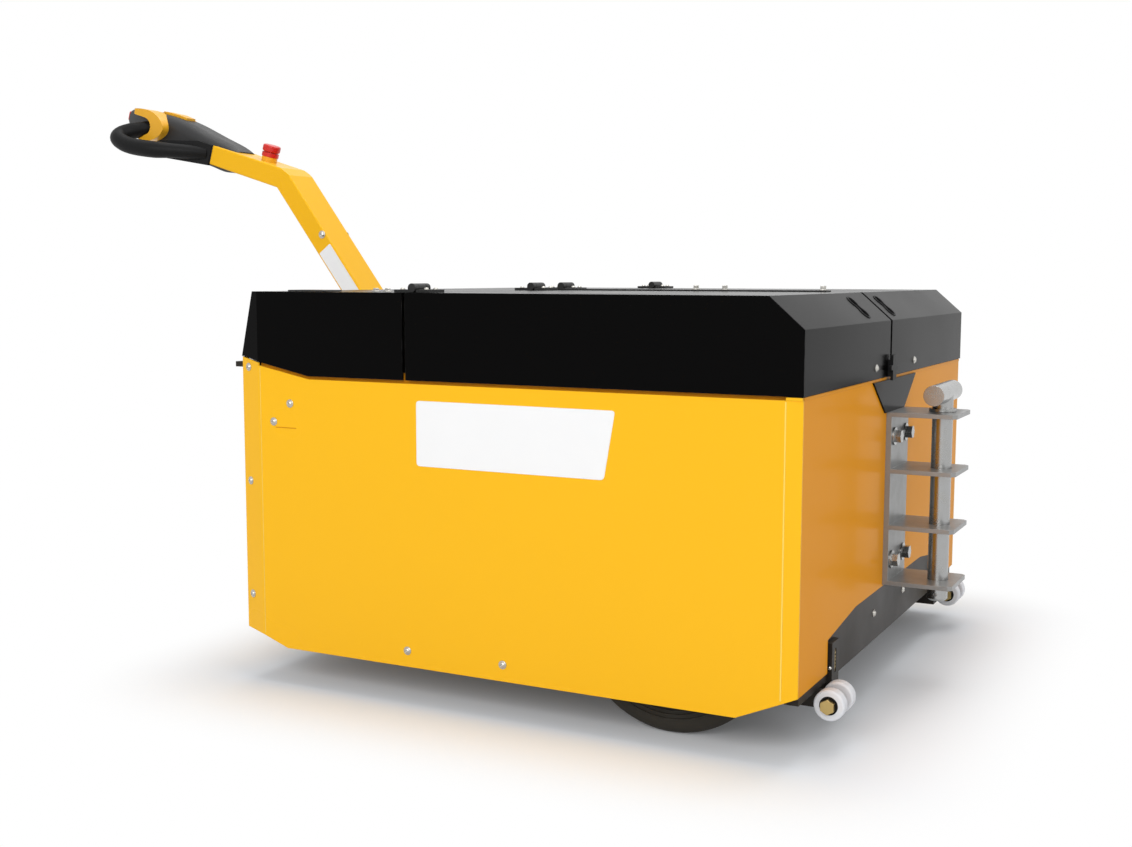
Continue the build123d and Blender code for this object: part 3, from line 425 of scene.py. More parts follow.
def satin_black(name):
    """Satin black of the chassis plates."""
    colour = shade("chassis_black")
    finish = Finish(name, colour, 0.42, specular=0.12)
    skin = effect(finish.tree, "Surface ripple", scale=650.0, cloud_scale=6.0)
    finish.over(skin.outputs["Cloud"], scaled(colour, 1.5))
    wear = effect(finish.tree, "Edge wear", width=0.0015, break_scale=40.0, amount=0.5)
    finish.over(wear.outputs["Mask"], (0.16, 0.14, 0.12, 1.0))
    dust = effect(finish.tree, "Settled dust", scale=18.0, amount=0.16)
    finish.over(dust.outputs["Mask"], (0.22, 0.20, 0.17, 1.0))
    finish.vary(skin.outputs["Cloud"], 0.36, 0.50)
    return finish.relief(skin.outputs["Height"], 0.0005, 0.12)


def plated(name, colour, cast, roughness, along=14.0, across=600.0, metallic=1.0):
    """Plated or turned metal: drawn lines, cloudy spangle and a coloured cast."""
    finish = Finish(name, colour, roughness, metallic=metallic)
    lines = effect(finish.tree, "Drawn lines", along=along, across=across, spangle_scale=38.0)
    finish.over(lines.outputs["Spangle"], cast)
    wear = effect(finish.tree, "Edge wear", width=0.0010, break_scale=90.0, amount=0.35)
    finish.over(wear.outputs["Mask"], scaled(colour, 1.6))
    finish.vary(lines.outputs["Spangle"], roughness - 0.05, roughness + 0.06)
    return finish.relief(lines.outputs["Lines"], 0.0002, 0.05)


def zinc_plate(name):
    """Dull zinc with a faint yellow passivate, on the hitch bracket."""
    return plated(name, scaled(shade("zinc"), 0.74), scaled(shade("passivate"), 0.72), 0.36, metallic=0.5)


def bright_zinc(name):
    """Bright zinc with a faint yellow passivate, on the tow pin and the hitch bolts."""
    return plated(name, shade("zinc"), shade("passivate"), 0.25)


def bright_screw(name):
    """Bright zinc of the small screws and studs."""
    return plated(name, (0.56, 0.55, 0.53, 1.0), (0.44, 0.42, 0.37, 1.0), 0.24)


def bare_steel(name):
    """Machined steel."""
    return plated(name, (0.33, 0.33, 0.34, 1.0), (0.27, 0.26, 0.25, 1.0), 0.38, along=300.0, across=300.0)


def brass_bolt(name):
    """Yellow-passivated bolts of the rollers."""
    return plated(name, shade("brass"), scaled(shade("brass"), 0.75), 0.34, along=200.0, across=200.0)


def cast_iron(name):
    """Painted casting of the gear case, hubs and motor."""
    finish = Finish(name, (0.055, 0.055, 0.058, 1.0), 0.6)
    grain = effect(finish.tree, "Moulded grain", scale=420.0, softness=0.6)
    skin = effect(finish.tree, "Surface ripple", scale=120.0, cloud_scale=14.0)
    finish.over(skin.outputs["Cloud"], (0.085, 0.083, 0.080, 1.0))
    wear = effect(finish.tree, "Edge wear", width=0.002, break_scale=50.0, amount=0.6)
    finish.over(wear.outputs["Mask"], (0.22, 0.21, 0.20, 1.0))
    finish.vary(skin.outputs["Cloud"], 0.5, 0.7)
    return finish.relief(grain.outputs["Height"], 0.0006, 0.35)


def tyre_rubber(name):
    """Solid tyre rubber, scuffed to grey-brown in patches."""
    colour = shade("tyre")
    finish = Finish(name, colour, 0.7, specular=0.3)
    grain = effect(finish.tree, "Moulded grain", scale=700.0, softness=0.55)
    skin = effect(finish.tree, "Surface ripple", scale=160.0, cloud_scale=22.0)
    finish.over(skin.outputs["Cloud"], (0.040, 0.034, 0.026, 1.0))
    wear = effect(finish.tree, "Edge wear", width=0.004, break_scale=40.0, amount=0.5)
    finish.over(wear.outputs["Mask"], (0.075, 0.066, 0.054, 1.0))
    finish.vary(skin.outputs["Cloud"], 0.6, 0.82)
    return finish.relief(grain.outputs["Height"], 0.0006, 0.4)


def nylon(name):
    """White cast nylon, a little translucent, with rolled-in marks."""
    colour = shade("nylon")
    finish = Finish(name, colour, 0.38)
    finish.shader.inputs["Subsurface Weight"].default_value = 0.12
    finish.shader.inputs["Subsurface Radius"].default_value = (0.004, 0.004, 0.004)
    skin = effect(finish.tree, "Surface ripple", scale=260.0, cloud_scale=40.0)
    finish.over(skin.outputs["Cloud"], scaled(colour, 0.86))
    wear = effect(finish.tree, "Edge wear", width=0.003, break_scale=80.0, amount=0.5)
    finish.over(wear.outputs["Mask"], (0.36, 0.34, 0.31, 1.0))
    finish.vary(skin.outputs["Cloud"], 0.30, 0.48)
    return finish.relief(skin.outputs["Height"], 0.0004, 0.15)


def moulding(name, colour, roughness, grain_scale, depth, specular=0.4, tone=0.82):
    """Moulded plastic with a pebbled grain, slow tone and polished corners."""
    finish = Finish(name, colour, roughness, specular=specular)
    grain = effect(finish.tree, "Moulded grain", scale=grain_scale, softness=0.45)
    skin = effect(finish.tree, "Surface ripple", scale=200.0, cloud_scale=16.0)
    finish.over(skin.outputs["Cloud"], scaled(colour, tone))
    wear = effect(finish.tree, "Edge wear", width=0.0015, break_scale=60.0, amount=0.4)
    finish.over(wear.outputs["Mask"], scaled(colour, 1.7))
    finish.vary(skin.outputs["Cloud"], roughness - 0.07, roughness + 0.07)
    return finish.relief(grain.outputs["Height"], 0.0004, depth)


def head_plastic(name):
    """Grained dark grey shell of the tiller head."""
    return moulding(name, shade("head_grey"), 0.46, 1100.0, 0.35)


def handle_rubber(name):
    """Soft black cover of the loop handle."""
    return moulding(name, scaled(shade("head_grey"), 0.35), 0.5, 1500.0, 0.3, specular=0.14)


def switch_plastic(name):
    """Yellow plastic of the switches."""
    return moulding(name, shade("switch_yellow"), 0.34, 1600.0, 0.03, tone=0.94)


def stop_plastic(name):
    """Red plastic of the stop button."""
    return moulding(name, shade("stop_red"), 0.30, 1800.0, 0.02, tone=0.94)


def hinge_plastic(name):
    """Black glass-filled plastic of the hinges."""
    return moulding(name, (0.010, 0.010, 0.010, 1.0), 0.42, 1300.0, 0.3, specular=0.35)


def battery_case(name):
    """Dark grey battery case."""
    return moulding(name, (0.030, 0.032, 0.036, 1.0), 0.5, 700.0, 0.3)


def label_film(name):
    """Satin white film of the blank plates."""
    colour = shade("label_white")
    finish = Finish(name, colour, 0.4, specular=0.4)
    skin = effect(finish.tree, "Surface ripple", scale=320.0, cloud_scale=9.0)
    finish.over(skin.outputs["Cloud"], scaled(colour, 0.955))
    wear = effect(finish.tree, "Edge wear", width=0.0012, break_scale=110.0, amount=0.35)
    finish.over(wear.outputs["Mask"], (0.52, 0.50, 0.46, 1.0))
    finish.vary(skin.outputs["Cloud"], 0.34, 0.46)
    return finish.relief(skin.outputs["Height"], 0.0002, 0.06)


def dark_gap(name):
    """Shadow-dark recess."""
    finish = Finish(name, (0.006, 0.006, 0.006, 1.0), 0.7, specular=0.1)
    skin = effect(finish.tree, "Surface ripple", scale=300.0, cloud_scale=30.0)
    finish.over(skin.outputs["Cloud"], (0.012, 0.011, 0.010, 1.0))
    return finish.vary(skin.outputs["Cloud"], 0.6, 0.8)


FINISHES = {
    "yellow_paint": yellow_paint,
    # Painted shade: a darker, more orange copy of the panel yellow.
    "end_paint": end_paint,
    # Painted highlight along the folds.
    "fold_paint": fold_paint,
    # Painted shade: the darker yellow under the lids.
    "rail_paint": rail_paint,
    "black_cover": black_cover,
    "satin_black": satin_black,
    "zinc_plate": zinc_plate,
    "bright_zinc": bright_zinc,
    "bright_screw": bright_screw,
    "bare_steel": bare_steel,
    "brass_bolt": brass_bolt,
    "cast_iron": cast_iron,
    "tyre_rubber": tyre_rubber,
    "nylon": nylon,
    "head_plastic": head_plastic,
    "handle_rubber": handle_rubber,
    "switch_plastic": switch_plastic,
    "stop_plastic": stop_plastic,
    "hinge_plastic": hinge_plastic,
    "battery_case": battery_case,
    "label_film": label_film,
    "dark_gap": dark_gap,
}


def finish_of(name):
    """Material of a finish, built on first use."""
    title = name.replace("_", " ").capitalize()
    return bpy.data.materials.get(title) or FINISHES[name](title).material


def paint_nodes(table):
    """Gives CAD nodes their finishes from a table of finish to node names."""
    for name, nodes in table.items():
        for node in nodes:
            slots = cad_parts[node].data.materials
            slots.clear()
            slots.append(finish_of(name))


# Mesh building


def facing(point, normal, upward=(0, 0, 1)):
    """Placing matrix whose z runs along a normal and whose y leans towards upward."""
    z = Vector(normal).normalized()
    x = Vector(upward).cross(z)
    if x.length < 1e-6:
        x = Vector((1, 0, 0))
    x.normalize()
    y = z.cross(x)
    return Matrix.Translation(Vector(point)) @ Matrix((x, y, z)).transposed().to_4x4()


def turned(mesh, profile, place, segments=20):
    """Turned form: (radius, height) points spun round the z of a placing matrix."""
    rings = []
    for radius, height in profile:
        count = segments if radius > 0 else 1
        turns = [2 * math.pi * step / count for step in range(count)]
        spots = [Vector((radius * math.cos(turn), radius * math.sin(turn), height)) for turn in turns]
        rings.append([mesh.verts.new(place @ spot) for spot in spots])
    for low, high in zip(rings, rings[1:]):
        for step in range(max(len(low), len(high))):
            corners = [
                low[step % len(low)],
                low[(step + 1) % len(low)],
                high[(step + 1) % len(high)],
                high[step % len(high)],
            ]
            mesh.faces.new(list(dict.fromkeys(corners)))


def raised(mesh, outline, place, height, chamfer):
    """Plate of a flat outline, raised along the z of a placing matrix, with a chamfered rim."""
    middle = sum((Vector(point) for point in outline), Vector((0, 0))) / len(outline)
    levels = ((0.0, 0.0), (height - chamfer, 0.0), (height, chamfer))
    rings = []
    for level, inward in levels:
        ring = []
        for point in outline:
            away = Vector(point) - middle
            flat = middle + away * (1 - inward / max(away.length, 1e-6))
            ring.append(mesh.verts.new(place @ Vector((flat.x, flat.y, level))))
        rings.append(ring)
    for low, high in zip(rings, rings[1:]):
        for step in range(len(outline)):
            after = (step + 1) % len(outline)
            mesh.faces.new((low[step], low[after], high[after], high[step]))
    mesh.faces.new(rings[-1])
    mesh.faces.new(list(reversed(rings[0])))


def rounded(corners, radius, steps=4):
    """Outline with its corners rounded."""
    points = []
    count = len(corners)
    for index, corner in enumerate(corners):
        here = Vector(corner)
        before = (Vector(corners[index - 1]) - here).normalized()
        after = (Vector(corners[(index + 1) % count]) - here).normalized()
        start, end = here + before * radius, here + after * radius
        for step in range(steps + 1):
            t = step / steps
            points.append((1 - t) ** 2 * start + 2 * t * (1 - t) * here + t ** 2 * end)
    return points


def hexagon(across):
    """Outline of a hexagon by its width across flats."""
    radius = across / math.sqrt(3)
    return [(radius * math.cos(math.pi * k / 3), radius * math.sin(math.pi * k / 3)) for k in range(6)]


def put_piece(name, mesh, finish, body):
    """Turns a built mesh into a piece that rides a body."""
    data = bpy.data.meshes.new(name)
    bmesh.ops.remove_doubles(mesh, verts=mesh.verts, dist=1e-6)
    bmesh.ops.recalc_face_normals(mesh, faces=mesh.faces)
    mesh.to_mesh(data)
    mesh.free()
    data.shade_smooth()
    data.set_sharp_from_angle(angle=math.radians(35))
    piece = bpy.data.objects.new(name, data)
    bpy.context.scene.collection.objects.link(piece)
    data.materials.append(finish_of(finish))
    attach(piece, body)
    return piece


def dome_screw(mesh, place, head, washer):
    """Button-head screw with a socket, on a washer."""
    r = head / 2
    turned(mesh, ((0, 0), (washer / 2, 0), (washer / 2, 0.0010), (washer / 2 - 0.0006, 0.0015), (r, 0.0015)), place)
    dome = [(r * math.cos(a), 0.0015 + 0.55 * r * math.sin(a)) for a in (0.0, 0.35, 0.7, 1.0, 1.2)]
    socket = r * 0.34
    turned(mesh, (*dome, (socket, dome[-1][1]), (socket * 0.9, dome[-1][1] - 0.002), (0, dome[-1][1] - 0.002)), place)


def block_outline(width, height):
    """Outline of a rectangle about its middle."""
    x, y = width / 2, height / 2
    return [(-x, -y), (x, -y), (x, y), (-x, y)]


def loose_boxes(node):
    """Boxes of a node's separate solids, in order across the body."""
    mesh = bmesh.new()
    mesh.from_mesh(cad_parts[node].data)
    bmesh.ops.remove_doubles(mesh, verts=mesh.verts, dist=1e-6)
    waiting = set(mesh.verts)
    boxes = []
    while waiting:
        front = [waiting.pop()]
        found = []
        while front:
            vert = front.pop()
            found.append(vert.co.copy())
            near = [edge.other_vert(vert) for edge in vert.link_edges]
            fresh = [other for other in near if other in waiting]
            waiting.difference_update(fresh)
            front.extend(fresh)
        spans = list(zip(*found))
        boxes.append((Vector([min(span) for span in spans]), Vector([max(span) for span in spans])))
    mesh.free()
    return sorted(boxes, key=lambda box: (round(box[0].y, 4), round(box[0].x, 4)))


def smooth_line(points, steps):
    """Points of a smooth line through given points."""
    line = []
    ends = [2 * points[0] - points[1], *points, 2 * points[-1] - points[-2]]
    for before, here, after, beyond in zip(ends, ends[1:], ends[2:], ends[3:]):
        for step in range(steps):
            t = step / steps
            pull = (after - before) * t
            bend = (2 * before - 5 * here + 4 * after - beyond) * t ** 2
            line.append(here + 0.5 * (pull + bend + (3 * here - before - 3 * after + beyond) * t ** 3))
    return line + [points[-1]]


def swept(mesh, line, radii, segments=20):
    """Round bar along a line, with a radius at each point and closed ends."""
    rings = []
    for index, (point, radius) in enumerate(zip(line, radii)):
        along = (line[min(index + 1, len(line) - 1)] - line[max(index - 1, 0)]).normalized()
        place = facing(point, along)
        turns = [2 * math.pi * step / segments for step in range(segments)]
        spots = [Vector((radius * math.cos(turn), radius * math.sin(turn), 0)) for turn in turns]
        rings.append([mesh.verts.new(place @ spot) for spot in spots])
    for low, high in zip(rings, rings[1:]):
        for step in range(segments):
            after = (step + 1) % segments
            mesh.faces.new((low[step], low[after], high[after], high[step]))
    mesh.faces.new(rings[0])
    mesh.faces.new(rings[-1])


def hex_bolt(mesh, place, across, height, washer=0.0):
    """Hex head, on a washer where one is given."""
    base = 0.0
    if washer:
        base = 0.0016
        turned(mesh, ((0, 0), (washer / 2, 0), (washer / 2, 0.0011), (washer / 2 - 0.0005, base), (0, base)), place)
    raised(mesh, hexagon(across), place @ Matrix.Translation((0, 0, base)), height, across * 0.06)


class TUG_OT_panels(bpy.types.Operator):
    """Yellow paint on the panels"""

    bl_idname = "tug.panels"
    bl_label = "Paint panels"

    def execute(self, context):
        paint_nodes({
            "yellow_paint": ("side_panel_left", "side_panel_right", "tiller_end_panel"),
            # The rails take a darker copy of the yellow, painted shade for the shadow under the lids.
            "rail_paint": ("top_rail_left", "top_rail_right"),
            # The hitch-end panel takes a darker, more orange copy of the yellow: painted shade.
            "end_paint": ("hitch_end_panel",),
        })
        return {"FINISHED"}


class TUG_OT_covers(bpy.types.Operator):
    """Gloss black on the lids, the cover and their trim"""

    bl_idname = "tug.covers"
    bl_label = "Paint lids and cover"

    def execute(self, context):
        paint_nodes({
            "black_cover": ("lid_left", "lid_right", "front_cover", "latch_tongue"),
            "hinge_plastic": ("hinge_fixed_leaves", "hinge_leaves_left", "hinge_leaves_right", "seam_strip"),
            "handle_rubber": ("rubber_latch",),
        })
        return {"FINISHED"}


class TUG_OT_chassis(bpy.types.Operator):
    """Satin black and steel on the chassis"""

    bl_idname = "tug.chassis"
    bl_label = "Paint chassis"

    def execute(self, context):
        paint_nodes({
            "satin_black": (
                "hitch_end_plate", "chassis_tub", "drive_bridge", "tiller_shelf",
                "roller_bracket_left", "roller_bracket_right",
            ),
            "bare_steel": ("slew_ring", "rear_axle", "steer_turntable"),
            "cast_iron": ("drive_gearbox", "drive_motor", "drive_hub", "rear_hub_left", "rear_hub_right"),
            "battery_case": ("battery_block",),
        })
        return {"FINISHED"}


class TUG_OT_hitch(bpy.types.Operator):
    """Zinc plate on the hitch"""

    bl_idname = "tug.hitch"
    bl_label = "Plate hitch"

    def execute(self, context):
        paint_nodes({"zinc_plate": ("hitch_bracket",), "bright_zinc": ("hitch_bolts", "hitch_pin")})
        return {"FINISHED"}


class TUG_OT_wheels(bpy.types.Operator):
    """Rubber, nylon and bolts of the wheels and rollers"""

    bl_idname = "tug.wheels"
    bl_label = "Dress wheels"

    def execute(self, context):
        paint_nodes({
            "tyre_rubber": ("rear_tyre_left", "rear_tyre_right", "drive_tyre"),
            "nylon": ("roller_discs_left", "roller_discs_right"),
            "brass_bolt": ("roller_bolt_left", "roller_bolt_right"),
        })
        return {"FINISHED"}


class TUG_OT_tiller(bpy.types.Operator):
    """Paint and plastics of the tiller"""

    bl_idname = "tug.tiller"
    bl_label = "Dress tiller"

    def execute(self, context):
        paint_nodes({
            "yellow_paint": ("tiller_arm",),
            "satin_black": ("tiller_socket",),
            "head_plastic": ("tiller_head",),
            "switch_plastic": ("throttle_paddles", "head_rocker", "stop_collar"),
            "stop_plastic": ("belly_button", "stop_button"),
            "handle_rubber": ("loop_handle",),
        })
        return {"FINISHED"}


class TUG_OT_panel_screws(bpy.types.Operator):
    """Dome screws on both side panels"""

    bl_idname = "tug.panel_screws"
    bl_label = "Panel screws"

    # From the hitch face and up from the floor, on the flat of a panel and on its bent end
    flat = ((0.9815, 0.5356), (1.0200, 0.5003), (0.7266, 0.0996), (0.5293, 0.0998))
    bent = ((1.0845, 0.6000), (1.0855, 0.3834), (1.0865, 0.1640))
    def execute(self, context):
        small = sizes()
        for side, name in ((-1, "left"), (1, "right")):
            mesh = bmesh.new()
            for back, height in self.flat:
                place = facing((hitch_face - back, side * half_width, height), (0, side, 0))
                dome_screw(mesh, place, small.screw_head, small.screw_washer)
            lean = Vector((-bend_inset, side * bend_length, 0))
            for back, height in self.bent:
                x = hitch_face - back
                inset = bend_inset * (tiller_end + bend_length - x) / bend_length
                dome_screw(
                    mesh, facing((x, side * (half_width - inset), height), lean), small.screw_head, small.screw_washer
                )
            put_piece(f"panel_screws_{name}", mesh, "bright_screw", "chassis")
        return {"FINISHED"}


class TUG_OT_blank_plates(bpy.types.Operator):
    """Blank white plate on the left panel"""

    bl_idname = "tug.blank_plates"
    bl_label = "Blank plates"

    def execute(self, context):
        small = sizes()
        mesh = bmesh.new()
        low = 0.437
        corners = [(0.703, low), (0.336, low), (0.316, low + small.label_height), (0.703, low + small.label_height)]
        outline = rounded([(-back, up) for back, up in corners], 0.007)
        place = facing((hitch_face, -half_width, 0), (0, -1, 0))
        raised(mesh, outline, place, small.label_thick, small.label_thick / 3)
        put_piece("side_plate_blank", mesh, "label_film", "chassis")
        return {"FINISHED"}


class TUG_OT_panel_lips(bpy.types.Operator):
    """Lips on the panels that close the gap under the lids and the cover at both ends"""

    bl_idname = "tug.panel_lips"
    bl_label = "Panel lips"

    skin = 0.003
    fold = 0.027
    clear = 0.001

    def execute(self, context):
        hitch_top = node_box("hitch_end_panel")[1]
        tiller_top = node_box("tiller_end_panel")[1]
        shelf_end = node_box("tiller_shelf")[1].y
        rise = lid_low.z - hitch_top.z - self.clear
        mesh = bmesh.new()
        self.lip(mesh, (hitch_face - self.skin / 2, 0, hitch_top.z), self.skin, 2 * hitch_top.y, rise)
        # The hitch lip takes the shaded end yellow: painted shade.
        put_piece("hitch_lip", mesh, "end_paint", "chassis")
        mesh = bmesh.new()
        for side in (-1, 1):
            fold = (hitch_face - self.fold / 2, side * (half_width - self.skin / 2), hitch_top.z)
            self.lip(mesh, fold, self.fold, self.skin, rise)
            self.bent_lip(mesh, side, side_high.z, rise)
            beside_shelf = (tiller_end + self.skin / 2, side * (shelf_end + tiller_top.y) / 2, tiller_top.z)
            high = side_high.z + rise - tiller_top.z
            self.lip(mesh, beside_shelf, self.skin, tiller_top.y - shelf_end, high)
        put_piece("corner_lips", mesh, "yellow_paint", "chassis")
        return {"FINISHED"}

    def lip(self, mesh, spot, along, across, rise):
        """Upright strip on a panel's edge."""
        raised(mesh, block_outline(along, across), facing(spot, (0, 0, 1), (0, 1, 0)), rise, 0.0004)

    def bent_lip(self, mesh, side, high, rise):
        """Lip on the bent edge by the tiller end, whose top falls away from that end."""
        run = math.hypot(bend_length, bend_inset)
        fall = bend_length * bend_slope
        lean = Vector((-bend_inset, side * bend_length, 0)).normalized()
        middle = Vector((tiller_end + bend_length / 2, side * (half_width - bend_inset / 2), high))
        corners = [(-run / 2, 0), (run / 2, -fall), (run / 2, rise - fall), (-run / 2, rise)]
        outline = [(-side * x, z) for x, z in corners]
        raised(mesh, outline, facing(middle - lean * self.skin, lean), self.skin, 0.0002)


class TUG_OT_panel_folds(bpy.types.Operator):
    """Bright lines where the side panels are folded, painted highlights; and the short slit by the screws, a thin strip
    in painted shade
    """

    bl_idname = "tug.panel_folds"
    bl_label = "Panel folds"

    def execute(self, context):
        small = sizes()
        # Painted highlights: from the hitch face, lowest and highest point, and share of the full width.
        folds = ((0.027, 0.108, 0.580, 1.0), (1.0505, 0.094, 0.600, 0.55))
        for side, name in ((-1, "left"), (1, "right")):
            mesh = bmesh.new()
            for back, low, high, share in folds:
                place = facing((hitch_face - back, side * half_width, (low + high) / 2), (0, side, 0))
                width = small.fold_highlight_width * share
                raised(mesh, rounded(block_outline(width, high - low), width / 3), place, 0.0003, 0.0001)
            put_piece(f"fold_highlight_lines_{name}", mesh, "fold_paint", "chassis")
            mesh = bmesh.new()
            # The short slit: a thin raised strip in the shaded rail yellow, painted shade.
            place = facing((hitch_face - 0.992, side * half_width, 0.490), (0, side, 0))
            raised(mesh, rounded(block_outline(0.047, 0.0016), 0.0005), place, 0.0003, 0.0001)
            put_piece(f"panel_slit_{name}", mesh, "rail_paint", "chassis")
        return {"FINISHED"}


class TUG_OT_lid_studs(bpy.types.Operator):
    """Studs on the ends of the lids and on the black end plate"""

    bl_idname = "tug.lid_studs"
    bl_label = "Lid and plate studs"

    def execute(self, context):
        head = sizes().stud_head
        for body, y in (("lid_left", -0.155), ("lid_right", 0.132)):
            mesh = bmesh.new()
            dome_screw(mesh, facing((node_box(body)[1].x, y, 0.608), (1, 0, 0)), head, head * 1.25)
            put_piece(f"stud_{body}", mesh, "bright_screw", body)
        plate = node_box("hitch_end_plate")[1].x
        mesh = bmesh.new()
        for y in (-0.110, 0.110):
            dome_screw(mesh, facing((plate, y, 0.150), (1, 0, 0)), head, head * 1.25)
        put_piece("end_plate_studs", mesh, "bright_screw", "chassis")
        return {"FINISHED"}


class TUG_OT_pull_grommets(bpy.types.Operator):
    """Rubber grommets round the finger pulls of the lids"""

    bl_idname = "tug.pull_grommets"
    bl_label = "Pull grommets"

    half_gap = 0.014
    end_radius = 0.011
    half_neck = 0.0065
    normal = Vector((0.6603, 0, 0.7510))

    def execute(self, context):
        levels = ((0.0035, 0.0), (0.0035, 0.0028), (0.0024, 0.0036), (0.0006, 0.0036), (0.0, 0.0028), (0.0, 0.0))
        for body, y in (("lid_left", -0.176), ("lid_right", 0.004)):
            mesh = bmesh.new()
            place = facing((hitch_face - 0.0283, y, 0.7150), self.normal, (0, 1, 0))
            rings = []
            for grow, height in levels:
                outline = self.bone(grow)
                rings.append([mesh.verts.new(place @ Vector((x, z, height))) for x, z in outline])
            for low, high in zip(rings, rings[1:] + rings[:1]):
                for step in range(len(low)):
                    after = (step + 1) % len(low)
                    mesh.faces.new((low[step], low[after], high[after], high[step]))
            put_piece(f"pull_grommet_{body}", mesh, "handle_rubber", body)
        return {"FINISHED"}

    def bone(self, grow):
        """Outline of a slot with round ends that are wider than its neck."""
        radius = self.end_radius + grow
        start = math.asin((self.half_neck + grow) / radius)
        points = []
        for way in (1, -1):
            for step in range(17):
                turn = (math.pi - start) * (step / 8 - 1)
                points.append((way * (self.half_gap + radius * math.cos(turn)), way * radius * math.sin(turn)))
        return points


class TUG_OT_top_fittings(bpy.types.Operator):
    """Bolts on the seam strip and the cover, and the low plate on the cover"""

    bl_idname = "tug.top_fittings"
    bl_label = "Bolts and plate on top"

    def execute(self, context):
        across = sizes().small_bolt
        low, high = node_box("seam_strip")
        mesh = bmesh.new()
        for back in (0.396, 0.335, 0.136):
            place = facing((hitch_face - back, (low.y + high.y) / 2, high.z), (0, 0, 1))
            hex_bolt(mesh, place, across, across * 0.7, across * 1.7)
        put_piece("strip_bolts", mesh, "bright_screw", "lid_right")
        cover_top = node_box("front_cover")[1].z
        mesh = bmesh.new()
        for back, y in ((0.847, -0.487), (0.828, -0.477)):
            hex_bolt(mesh, facing((hitch_face - back, y, cover_top), (0, 0, 1)), across, across * 0.5, across * 1.7)
        put_piece("cover_bolts", mesh, "bright_screw", "chassis")
        mesh = bmesh.new()
        place = facing((hitch_face - 0.962, -0.520, cover_top), (0, 0, 1), (0, 1, 0))
        raised(mesh, rounded(block_outline(0.086, 0.060), 0.008), place, 0.003, 0.001)
        put_piece("cover_plate", mesh, "hinge_plastic", "chassis")
        return {"FINISHED"}


class TUG_OT_hinge_screws(bpy.types.Operator):
    """Screws through the leaves of the hinges"""

    bl_idname = "tug.hinge_screws"
    bl_label = "Hinge screws"

    def execute(self, context):
        small = sizes()
        leaves = (
            ("hinge_fixed_leaves", "chassis", -1),
            ("hinge_leaves_left", "lid_left", 1),
            ("hinge_leaves_right", "lid_right", 1),
        )
        for node, body, way in leaves:
            mesh = bmesh.new()
            for low, high in loose_boxes(node):
                edge = low.x if way < 0 else high.x
                for offset in (-0.015, 0.015):
                    spot = (edge - way * 0.012, (low.y + high.y) / 2 + offset, low.z + small.leaf_thick)
                    dome_screw(mesh, facing(spot, (0, 0, 1)), small.leaf_screw, small.leaf_screw * 1.1)
            put_piece(f"{node}_screws", mesh, "bright_screw", body)
        return {"FINISHED"}


class TUG_OT_arm_trim(bpy.types.Operator):
    """Bolt and blank plate on each side of the tiller arm"""

    bl_idname = "tug.arm_trim"
    bl_label = "Arm bolts and plates"

    def execute(self, context):
        small = sizes()
        low, high = node_box("tiller_arm")
        along = Vector((-math.cos(arm_low_slope), 0, math.sin(arm_low_slope)))
        bolts = bmesh.new()
        plates = bmesh.new()
        for side, y in ((-1, low.y), (1, high.y)):
            bolt = Vector((hitch_face - 1.3045, y, 0.864))
            dome_screw(bolts, facing(bolt, (0, side, 0)), small.screw_head * 1.2, small.screw_washer * 1.15)
            middle = Vector((arm_root.x, y, arm_root.z)) + along * 0.097
            place = facing(middle, (0, side, 0), along)
            raised(plates, rounded(block_outline(0.037, 0.165), 0.003), place, small.label_thick, small.label_thick / 3)
        put_piece("arm_bolts", bolts, "bright_screw", "tiller")
        put_piece("arm_plates_blank", plates, "label_film", "tiller")
        return {"FINISHED"}


class TUG_OT_loop_grips(bpy.types.Operator):
    """Soft grips on the loops of the handle"""

    bl_idname = "tug.loop_grips"
    bl_label = "Loop grips"

    # Along the head, across it and up from it
    route = (
        (0.070, 0.088, -0.012),
        (0.125, 0.113, -0.024),
        (0.185, 0.119, -0.031),
        (0.226, 0.114, -0.026),
        (0.237, 0.098, -0.016),
        (0.224, 0.078, -0.002),
        (0.208, 0.060, 0.009),
    )

    def execute(self, context):
        radius = sizes().grip_diameter / 2
        on = Vector((-math.cos(arm_high_slope), 0, math.sin(arm_high_slope)))
        up = Vector((math.sin(arm_high_slope), 0, math.cos(arm_high_slope)))
        mesh = bmesh.new()
        for side in (-1, 1):
            points = [head_origin + on * a + Vector((0, side * y, 0)) + up * z for a, y, z in self.route]
            line = smooth_line(points, 8)
            last = len(line) - 1
            radii = [radius * (0.86 + 0.14 * min(1.0, min(step, last - step) / 6)) for step in range(last + 1)]
            swept(mesh, line, radii)
        put_piece("loop_grips", mesh, "handle_rubber", "tiller")
        return {"FINISHED"}


